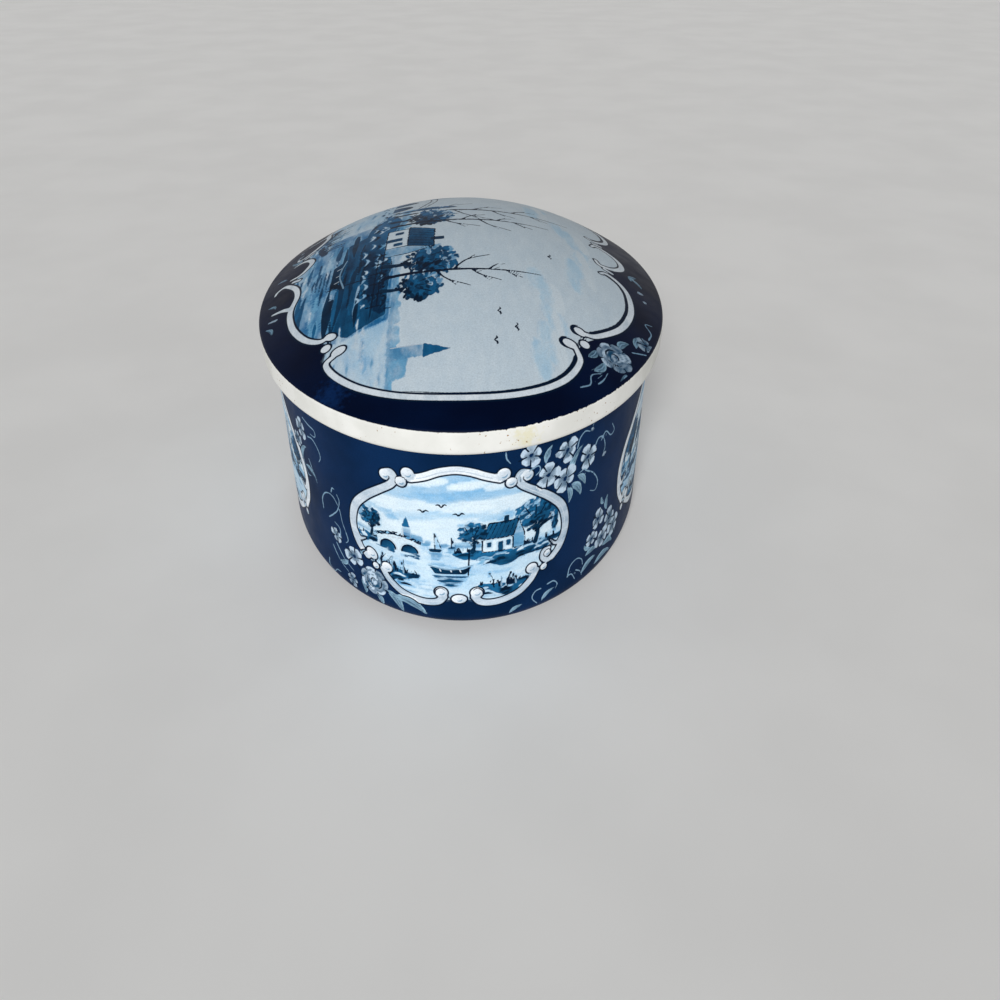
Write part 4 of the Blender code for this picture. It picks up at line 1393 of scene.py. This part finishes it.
def ink_layers(tree, place, ground, streak, paper, outline):
    """Lays every ink over the ground by its distance, frayed by brush-sized noise and soft at its edge.

    Under the white scrollwork lies a dark line, which is the white's own shape grown by the outline's width.
    """
    brushed = add(tree, "ShaderNodeMapping", {"Vector": place, "Scale": streak}).outputs[0]
    fray = maths(tree, "SUBTRACT", noise(tree, brushed, 0.7 * MM, 3.0), 0.5)
    drift = maths(tree, "SUBTRACT", noise(tree, brushed, 2.4 * MM, 4.0, 0.6), 0.5)
    wash = span(tree, noise(tree, brushed, 5.0 * MM, 4.0, 0.6), 0.3, 0.62, 0.3, 1.0)
    tone = maths(tree, "MULTIPLY_ADD", drift, 1.1, field(tree, "tone"))
    colour = ground
    for ink in INK_ORDER:
        dark, light, soft, frayed = INK_FINISH[ink]
        if ink == "paper":
            dark, light = paper
        distance = field(tree, f"ink_{ink}")
        if ink == "white":
            under = span(tree, distance, -outline - 0.1, -outline + 0.1)
            colour = mixed(tree, under, colour, PEN_COLOURS["dark"])
        if frayed:
            distance = maths(tree, "MULTIPLY_ADD", fray, 2 * frayed, distance)
        share = span(tree, distance, -soft, soft)
        if ink in ("sky", "blue"):
            share = maths(tree, "MULTIPLY", share, wash)
        shade = mixed(tree, span(tree, tone, 0.0, 1.0, smooth=False), dark, light)
        colour = mixed(tree, share, colour, shade)
    for pen in PENS:
        line = maths(tree, "ABSOLUTE", field(tree, f"line_{pen}"))
        width = maths(tree, "MULTIPLY_ADD", fray, 0.25, field(tree, f"width_{pen}"))
        share = span(tree, maths(tree, "SUBTRACT", width, line), -0.08, 0.08)
        colour = mixed(tree, share, colour, PEN_COLOURS[pen])
    return colour


def varnish_bump(tree, place):
    """Orange peel of the varnish over the slight waviness of rolled sheet."""
    peel = noise(tree, place, 0.9 * MM, 2.0)
    wave = noise(tree, place, 14 * MM, 1.0)
    height = maths(tree, "MULTIPLY_ADD", wave, 12.0, peel)
    return add(tree, "ShaderNodeBump", {"Strength": 0.1, "Distance": 0.03 * MM, "Height": height}).outputs[0]


def lithographed_tinplate(name, ground, deeper, streak, paper, outline):
    """Offset-printed tinplate under clear varnish: flat inks with the print screen's faint grain."""
    material, tree, shader = new_material(name, Specular_IOR_Level=0.02)
    place = add(tree, "ShaderNodeTexCoord").outputs["Object"]
    blotch = span(tree, noise(tree, place, 22 * MM, 3.0), 0.35, 0.68)
    base = mixed(tree, blotch, ground, deeper)
    colour = ink_layers(tree, place, base, streak, paper, outline)
    grain = span(tree, noise(tree, place, 0.32 * MM, 1.0), 0.3, 0.7, 0.90, 1.07, smooth=False)
    return material, tree, shader, place, mixed(tree, 1.0, colour, grain, "MULTIPLY")


def finish_print(tree, shader, place, colour):
    """Joins a print's colour, uneven gloss and bump to its shader."""
    tree.links.new(colour, shader.inputs["Base Color"])
    gloss = span(tree, noise(tree, place, 6 * MM, 4.0, 0.6), 0.3, 0.7, 0.32, 0.44, smooth=False)
    tree.links.new(gloss, shader.inputs["Roughness"])
    tree.links.new(varnish_bump(tree, place), shader.inputs["Normal"])


def wall_material():
    """Printed wall: deep navy ground with white and blue decoration."""
    name, streak = "Lithographed tinplate, navy wall", (0.35, 0.35, 1.0)
    parts = lithographed_tinplate(name, "0B294F", "051F3E", streak, ("AECDE2", "DBEBF5"), 0.45)
    finish_print(*parts[1:])
    return parts[0]


def distance_from(tree, place, spot):
    """Distance of a place from a spot."""
    return add(tree, "ShaderNodeVectorMath", {0: place, 1: spot}, operation="DISTANCE").outputs["Value"]


def patch(tree, place, spot, grain, roughness, fray, near, far, share):
    """Share of a patch with a frayed edge: whole up to the near distance from its spot, none past the far."""
    away = distance_from(tree, place, spot)
    away = maths(tree, "MULTIPLY_ADD", noise(tree, place, grain, 4.0, roughness), fray, away)
    return span(tree, away, near, far, share, 0.0)


# Places on the lid: the painted sheen on the ground, the yellowed enamel and the middle of the chipped edge
SHEEN_SPOT = (-0.0295, -0.0655, 0.063)
STAINED_SPOT = (0.0145, -0.077, 0.0578)
CHIPPED_SPOT = (0.028, -0.072, LID_EDGE)


def lid_material():
    """Printed dome and white enamelled skirt.

    The ground is a blacker navy than the wall's, with one bluer spot of painted sheen, and painted shade
    darkens the whole print a little. Below the lid's edge the white enamel starts, with a slightly ragged
    line, small brown specks and one yellowed patch.
    """
    name, streak = "Lithographed tinplate, navy lid", (1.0, 0.35, 1.0)
    parts = lithographed_tinplate(name, "021231", "010A24", streak, ("C6D7E4", "DEE9F0"), 0.5)
    material, tree, shader, place, colour = parts
    # Painted shade: the lid's whole print is multiplied by a pale grey, which darkens it a little
    colour = mixed(tree, 1.0, colour, "E2E5E7", "MULTIPLY")
    # Painted sheen: a lighter, bluer patch on the near ground that stands in for soft reflected light
    sheen = patch(tree, place, SHEEN_SPOT, 1.6 * MM, 0.7, 14 * MM, 7 * MM, 13 * MM, 0.35)
    colour = mixed(tree, sheen, colour, "123A74", "LIGHTEN")
    height = add(tree, "ShaderNodeSeparateXYZ", {0: place}).outputs["Z"]
    cloudy = span(tree, noise(tree, place, 9 * MM, 3.0), 0.35, 0.65)
    enamel = mixed(tree, cloudy, "E9E9E5", "DEDED9")
    stained = patch(tree, place, STAINED_SPOT, 1.2 * MM, 0.6, 10 * MM, 5.5 * MM, 9 * MM, 0.55)
    enamel = mixed(tree, stained, enamel, "DDD6A8")
    speck = span(tree, noise(tree, place, 0.8 * MM, 2.0), 0.68, 0.73)
    patchy = span(tree, noise(tree, place, 16 * MM, 1.0), 0.44, 0.58)
    enamel = mixed(tree, maths(tree, "MULTIPLY", speck, patchy), enamel, "9A7A52")
    chips = span(tree, distance_from(tree, place, CHIPPED_SPOT), 12 * MM, 30 * MM, 0.8 * MM, 0.25 * MM)
    ragged = maths(tree, "SUBTRACT", noise(tree, place, 0.8 * MM, 4.0, 0.6), 0.5)
    line = maths(tree, "MULTIPLY_ADD", ragged, chips, height)
    edge = LID_EDGE - 0.35 * MM
    share = span(tree, line, edge - 0.07 * MM, edge + 0.07 * MM, 1.0, 0.0)
    finish_print(tree, shader, place, mixed(tree, share, colour, enamel))
    return material


def bare_tinplate():
    """Tin-coated steel as rolled: satin, a little warm, with fine rolling lines and dull patches."""
    material, tree, shader = new_material("Bare tinplate, rolled", Metallic=1.0)
    place = add(tree, "ShaderNodeTexCoord").outputs["Object"]
    lines = add(tree, "ShaderNodeMapping", {"Vector": place, "Scale": (1.0, 0.04, 1.0)}).outputs[0]
    grain = noise(tree, lines, 0.35 * MM, 3.0)
    cloud = noise(tree, place, 11 * MM, 4.0, 0.6)
    tone = mixed(tree, span(tree, cloud, 0.35, 0.65), "C9C7BE", "AFADA4")
    tone = mixed(tree, span(tree, grain, 0.3, 0.7, 0.0, 0.25), tone, "8F8D86")
    tree.links.new(tone, shader.inputs["Base Color"])
    rough = maths(
        tree, "ADD", span(tree, cloud, 0.3, 0.7, 0.26, 0.4), span(tree, grain, 0.3, 0.7, -0.04, 0.06),
    )
    tree.links.new(rough, shader.inputs["Roughness"])
    bump = add(tree, "ShaderNodeBump", {"Strength": 0.25, "Distance": 0.02 * MM, "Height": grain}).outputs[0]
    tree.links.new(bump, shader.inputs["Normal"])
    return material


# The three sheets


def even_columns(low, high, pitch):
    """Evenly spaced places, a whole number of coarse columns' worth, without the last."""
    cells = COARSE_SHARE * round((high - low) / pitch / COARSE_SHARE)
    return np.linspace(low, high, cells + 1)[:-1]


# Columns beside the seam, by their distance in millimetres after its line and before it
AFTER_SEAM = (0, 0.12, 0.4, 0.9, 1.5, 2.2, 3.0, 3.7, 3.8, 4.4, 5.2)
BEFORE_SEAM = (6.0, 5.0, 4.0, 3.0, 2.2, 1.5, 0.9, 0.5, 0.3, 0.2, 0.12)


def wall_columns():
    """Places of the wall's columns, as lengths from the seam line, and those that the coarse faces keep.

    Columns crowd round the seam, so that its groove and folded strip have clean edges, and stand closer in
    front than at the sides. Away from the seam every fifth column goes on into the inner face.
    """
    after = np.array(AFTER_SEAM) * MM
    before = 2 * HALF_ROUND - np.array(BEFORE_SEAM) * MM
    front = HALF_ROUND + SEAM_LINE
    low, high = front - FRONT_REACH, front + FRONT_REACH
    spaced = [
        even_columns(6 * MM, low, SIDE_PITCH),
        even_columns(low, high, FRONT_PITCH),
        even_columns(high, before[0], SIDE_PITCH),
    ]
    middle = np.concatenate(spaced)
    first, last = len(after), len(after) + len(middle)
    kept = np.concatenate(
        [np.arange(first), np.arange(first, last, COARSE_SHARE), last + np.arange(len(before))]
    )
    return np.concatenate([after, middle, before]), kept


def build_wall(material, inside):
    """Body wall: a section from the lip over the foot and up to the mouth curl, swept round the oval.

    The outer face is a fine grid that carries the print up to under the lid. The folded seam strip stands
    inward at the back.
    """
    wall_top = MOUTH_TOP - MOUTH_CURL / 2
    foot_moves = [
        (LIP_HEIGHT - LIP_BEND - SHEET / 2,), (LIP_BEND, 90, 4), (FOOT_FLANGE,),
        (FOOT_RADIUS - SHEET / 2, 90, FOOT_STEPS),
    ]
    foot_inner, foot_outer = bent_section((-LIP_REACH, LIP_HEIGHT), -90, foot_moves)
    curl_moves = [((MOUTH_CURL - SHEET) / 2, CURL_TURN, CURL_STEPS)]
    curl_inner, curl_outer = bent_section((-SHEET / 2, wall_top), 90, curl_moves)
    offsets, kept = wall_columns()
    lengths = HALF_ROUND - SEAM_LINE + offsets
    turns = turn_at(lengths)
    groove = np.stack(oval(turns[0], -SEAM_GROOVE_DEPTH))
    rows = np.arange(FOOT_RADIUS + ROW_PITCH, SKIRT_BOTTOM + PRINT_UNDER_SKIRT, ROW_PITCH)
    printed = np.concatenate([foot_outer[-FOOT_STEPS - 1 :], np.column_stack([np.zeros(len(rows)), rows])])
    outer = rings(turns, printed)
    outer[printed[:, 1] > FOOT_RADIUS + SEAM_MARGIN, 0, :2] = groove
    skin = Skin()
    face = skin.add(outer)
    around_front = (lengths + HALF_ROUND) % (2 * HALF_ROUND) - HALF_ROUND
    across = np.broadcast_to(around_front[None, :], face.shape)
    fields = wall_print(across, np.broadcast_to(printed[:, 1][:, None], face.shape))
    skin.quads(face)
    above = np.array([rows[-1] + 1.2 * MM, rows[-1] + 2.6 * MM, wall_top - SEAM_MARGIN, wall_top - 0.4 * MM])
    upper = np.column_stack([np.zeros(len(above)), above])
    outside = rings(turns[kept], np.concatenate([upper, curl_outer]))
    outside[:2, 0, :2] = groove
    strip_low, strip_high = FOOT_RADIUS + 1.1 * SEAM_MARGIN, wall_top - 1.1 * SEAM_MARGIN
    ends = [
        FOOT_RADIUS + SEAM_MARGIN, strip_low + 0.1 * SEAM_MARGIN, wall_top - SEAM_MARGIN,
        strip_high - 0.1 * SEAM_MARGIN,
    ]
    heights = np.sort(np.concatenate([np.linspace(wall_top, FOOT_RADIUS, 16)[1:-1], ends]))[::-1]
    inner_wall = np.column_stack([np.full(len(heights), -SHEET), heights])
    within = rings(turns[kept], np.concatenate([curl_inner[::-1], inner_wall, foot_inner[::-1]]))
    in_strip = (offsets[kept] < SEAM_STRIP[1]) | (offsets[kept] > 2 * HALF_ROUND + SEAM_STRIP[0])
    strip_x, strip_y = oval(turns[kept][in_strip], -SHEET - SEAM_STRIP_DEPTH)
    for row, height in enumerate(heights, start=len(curl_inner)):
        if strip_low < height < strip_high:
            within[row, in_strip, 0], within[row, in_strip, 1] = strip_x, strip_y
    under = rings(turns[kept], foot_outer[: -FOOT_STEPS - 1])
    outside, within, under = skin.add(outside), skin.add(within), skin.add(under)
    skin.joint(face[-1], outside[0], kept)
    skin.quads(outside)
    skin.quads(np.concatenate([outside[-1:], within]), 1)
    skin.quads(np.concatenate([within[-1:], under]))
    skin.joint(face[0], under[-1], kept, turned=True)
    piece = skin.build("tin_body_wall", [material, inside], fields)
    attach(piece, "tin")
    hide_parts("body_wall")


def build_base(material):
    """Base plate: over the lip of the wall, down inside it and in across the raised middle of the panel."""
    moves = [
        (LIP_HEIGHT - HOOK_EDGE,), (HOOK_RADIUS, 180, 12), (LIP_HEIGHT - PANEL_HEIGHT - PANEL_BEND,),
        (PANEL_BEND, -90, 6), (PANEL_MARGIN,), (BEAD_BEND, -BEAD_TURN, 6), (BEAD_BEND, BEAD_TURN, 6),
    ]
    lower, upper = bent_section((HOOK_RADIUS - LIP_REACH, HOOK_EDGE), 90, moves)
    turns = np.arange(BASE_COLUMNS) * math.tau / BASE_COLUMNS
    skin = Skin()
    swept = rings(turns, np.concatenate([upper[::-1], lower]))
    shares = np.array([0.25, 0.5, 0.75])[:, None, None]
    middles = [np.array([0, 0, swept[row, 0, 2]]) for row in (0, -1)]
    top_web = middles[0] + (swept[0] - middles[0]) * shares
    low_web = middles[1] + (swept[-1] - middles[1]) * shares[::-1]
    body = skin.add(np.concatenate([top_web, swept, low_web]))
    skin.quads(body, turned=True)
    skin.cap(body[0], middles[0])
    skin.cap(body[-1], middles[1], turned=True)
    piece = skin.build("tin_base_plate", [material])
    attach(piece, "tin")
    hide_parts("base_plate")


def dome_height(x, y):
    """Top of the dome: its rise times one less the squared shares of half width and half length."""
    share = (x / (HALF_WIDTH + LID_OVERHANG)) ** 2 + (y / (HALF_LENGTH + LID_OVERHANG)) ** 2
    return LID_EDGE + DOME_RISE * (1 - share)


def dome_slope(x, y):
    """Steepness of the dome at a place."""
    return 2 * DOME_RISE * np.hypot(
        x / (HALF_WIDTH + LID_OVERHANG) ** 2, y / (HALF_LENGTH + LID_OVERHANG) ** 2,
    )


def edge_rings(turns, radius):
    """Rings round the corner from the dome to the skirt. Each turns from the dome's lean down to upright."""
    slope = dome_slope(*oval(turns, LID_OVERHANG))
    lean = np.arctan(slope)
    centre = LID_EDGE + slope * LID_EDGE_RADIUS - LID_EDGE_RADIUS / np.cos(lean)
    rise = (math.pi / 2 - lean)[None, :] * (1 - np.linspace(0, 1, EDGE_STEPS))[:, None]
    x, y = oval(turns[None, :], LID_OVERHANG - LID_EDGE_RADIUS + radius * np.cos(rise))
    return np.stack([x, y, centre + radius * np.sin(rise)], axis=-1)


def disc_grid(cells):
    """Square grid mapped to a disc: the larger of the two places is the radius, the other sets the angle."""
    side = np.linspace(-1, 1, cells + 1)
    a, b = np.meshgrid(side, side, indexing="xy")
    wide = np.abs(a) > np.abs(b)
    radius = np.where(wide, a, b)
    safe = np.where(radius == 0, 1, radius)
    angle = np.where(wide, math.pi / 4 * b / safe, math.pi / 2 - math.pi / 4 * a / safe)
    return radius, angle


def border(grid):
    """The edge of a square grid, once round from its lowest corner."""
    return np.concatenate([grid[0, :-1], grid[:-1, -1], grid[-1, :0:-1], grid[:0:-1, 0]])


def build_lid(material, inside):
    """Lid: a fine printed dome with its rounded edge, the upright skirt and the inward curl."""
    radius, angle = disc_grid(DOME_CELLS)
    turns = angle + math.pi / 2 + np.where(radius < 0, math.pi, 0)
    lean = np.arctan(dome_slope(*oval(turns, LID_OVERHANG)))
    rim_x, rim_y = oval(turns, LID_OVERHANG - LID_EDGE_RADIUS * (1 - np.sin(lean)))
    x, y = np.abs(radius) * rim_x, np.abs(radius) * rim_y
    skin = Skin()
    dome = skin.add(np.stack([x, y, dome_height(x, y)], axis=-1))
    fields = lid_print(np.stack([x, y], axis=-1))
    skin.quads(dome, closed=False)
    rim_turns = border(turns)
    edge = edge_rings(rim_turns, LID_EDGE_RADIUS)[1:]
    below = edge[-1].copy()
    below[:, 2] = edge[-1, :, 2].min() - 0.3 * MM
    edge = skin.add(np.concatenate([edge, below[None]]))
    skin.quads(np.concatenate([border(dome)[None], edge]), turned=True)
    kept = np.arange(0, len(rim_turns), COARSE_SHARE)
    coarse = rim_turns[kept]
    start = (LID_OVERHANG - SHEET / 2, SKIRT_BOTTOM + LID_CURL / 2)
    curl_outer, curl_inner = bent_section(start, -90, [((LID_CURL - SHEET) / 2, -CURL_TURN, CURL_STEPS)])
    heights = np.linspace(below[0, 2] - 0.5 * MM, SKIRT_BOTTOM + LID_CURL / 2, 5)[:-1]
    skirt = np.column_stack([np.full(len(heights), LID_OVERHANG), heights])
    outside = skin.add(rings(coarse, np.concatenate([skirt, curl_outer])))
    skin.joint(edge[-1], outside[0], kept, turned=True)
    skin.quads(outside, turned=True)
    under_edge = edge_rings(coarse, LID_EDGE_RADIUS - SHEET)[::-1]
    shares = np.linspace(1, 0, 17)[1:-1][:, None]
    under_x, under_y = under_edge[-1, :, 0] * shares, under_edge[-1, :, 1] * shares
    under_z = dome_height(under_x, under_y) - SHEET * np.hypot(1, dome_slope(under_x, under_y))
    under = np.stack([under_x, under_y, under_z], axis=-1)
    within = skin.add(np.concatenate([rings(coarse, curl_inner[::-1]), under_edge, under]))
    skin.quads(np.concatenate([outside[-1:], within]), 1, turned=True)
    skin.cap(within[-1], (0, 0, lid_high.z - SHEET), 1, turned=True)
    piece = skin.build("tin_lid", [material, inside], fields)
    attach(piece, "lid")
    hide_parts("lid")


# Camera, floor and light


def add_camera():
    """The photograph's camera, by yaw, pitch and roll."""
    level = Vector((math.cos(CAMERA_YAW), -math.sin(CAMERA_YAW), 0))
    ahead = Vector((math.sin(CAMERA_YAW), math.cos(CAMERA_YAW), 0)) * math.cos(CAMERA_PITCH)
    ahead.z = -math.sin(CAMERA_PITCH)
    over = level.cross(ahead)
    right = math.cos(CAMERA_ROLL) * level + math.sin(CAMERA_ROLL) * over
    up = math.cos(CAMERA_ROLL) * over - math.sin(CAMERA_ROLL) * level
    camera = bpy.data.objects.new("camera", bpy.data.cameras.new("camera"))
    camera.data.lens = CAMERA_LENS
    camera.data.sensor_width = 36
    camera.data.clip_start = 0.01
    bpy.context.scene.collection.objects.link(camera)
    turned = Matrix((right, up, -ahead)).transposed().to_4x4()
    camera.matrix_world = Matrix.Translation(CAMERA_PLACE) @ turned
    bpy.context.scene.camera = camera


# The studio: half the floor's side in metres, the key's strength, its spread in radians and the way to it,
# and how strongly the world lights the tin
FLOOR_HALF = 4.0
KEY_STRENGTH = 2.9
KEY_SPREAD = 0.35
KEY_SIDE = (-0.14, -0.85, 0.5)
WORLD_LIGHTING = 0.2


def add_floor():
    """Pale floor, a wide square at the height that the tin stands on."""
    material, tree, shader = new_material("Pale floor", Roughness=0.85, Specular_IOR_Level=0.2)
    place = add(tree, "ShaderNodeTexCoord").outputs["Object"]
    tone = mixed(
        tree, span(tree, noise(tree, place, 60 * MM, 3.0), 0.3, 0.7), "F0EFED", "EBEAE8",
    )
    tree.links.new(tone, shader.inputs["Base Color"])
    mesh = bpy.data.meshes.new("floor")
    corners = upright(-FLOOR_HALF, FLOOR_HALF, -FLOOR_HALF, FLOOR_HALF)
    mesh.from_pydata([(x, y, 0) for x, y in corners], [], [(0, 1, 2, 3)])
    mesh.materials.append(material)
    floor = bpy.data.objects.new("floor", mesh)
    bpy.context.scene.collection.objects.link(floor)


def add_light():
    """A broad key from above the camera's left shoulder and an even pale world.

    The camera, reflections and clear things see the world at full strength, and it lights the tin at a
    part of that.
    """
    key = bpy.data.objects.new("key", bpy.data.lights.new("key", "SUN"))
    key.data.energy, key.data.angle = KEY_STRENGTH, KEY_SPREAD
    key.rotation_euler = Vector(KEY_SIDE).to_track_quat("Z", "Y").to_euler()
    bpy.context.scene.collection.objects.link(key)
    world = bpy.data.worlds.new("studio")
    bpy.context.scene.world = world
    world.use_nodes = True
    tree = world.node_tree
    seen = tree.nodes["Background"]
    seen.inputs["Color"].default_value = linear("DEDDDB")
    lighting = add(tree, "ShaderNodeBackground", {"Color": linear("E6E8EA"), "Strength": WORLD_LIGHTING})
    rays = add(tree, "ShaderNodeLightPath").outputs
    looked_at = maths(tree, "MAXIMUM", rays["Is Camera Ray"], rays["Is Glossy Ray"])
    looked_at = maths(tree, "MAXIMUM", looked_at, rays["Is Transmission Ray"])
    both = add(tree, "ShaderNodeMixShader", {0: looked_at, 1: lighting.outputs[0], 2: seen.outputs[0]})
    tree.links.new(both.outputs[0], tree.nodes["World Output"].inputs["Surface"])
    bpy.context.scene.view_settings.view_transform = "Standard"


add_camera()
tinplate = bare_tinplate()
build_wall(wall_material(), tinplate)
build_base(tinplate)
build_lid(lid_material(), tinplate)
add_floor()
add_light()
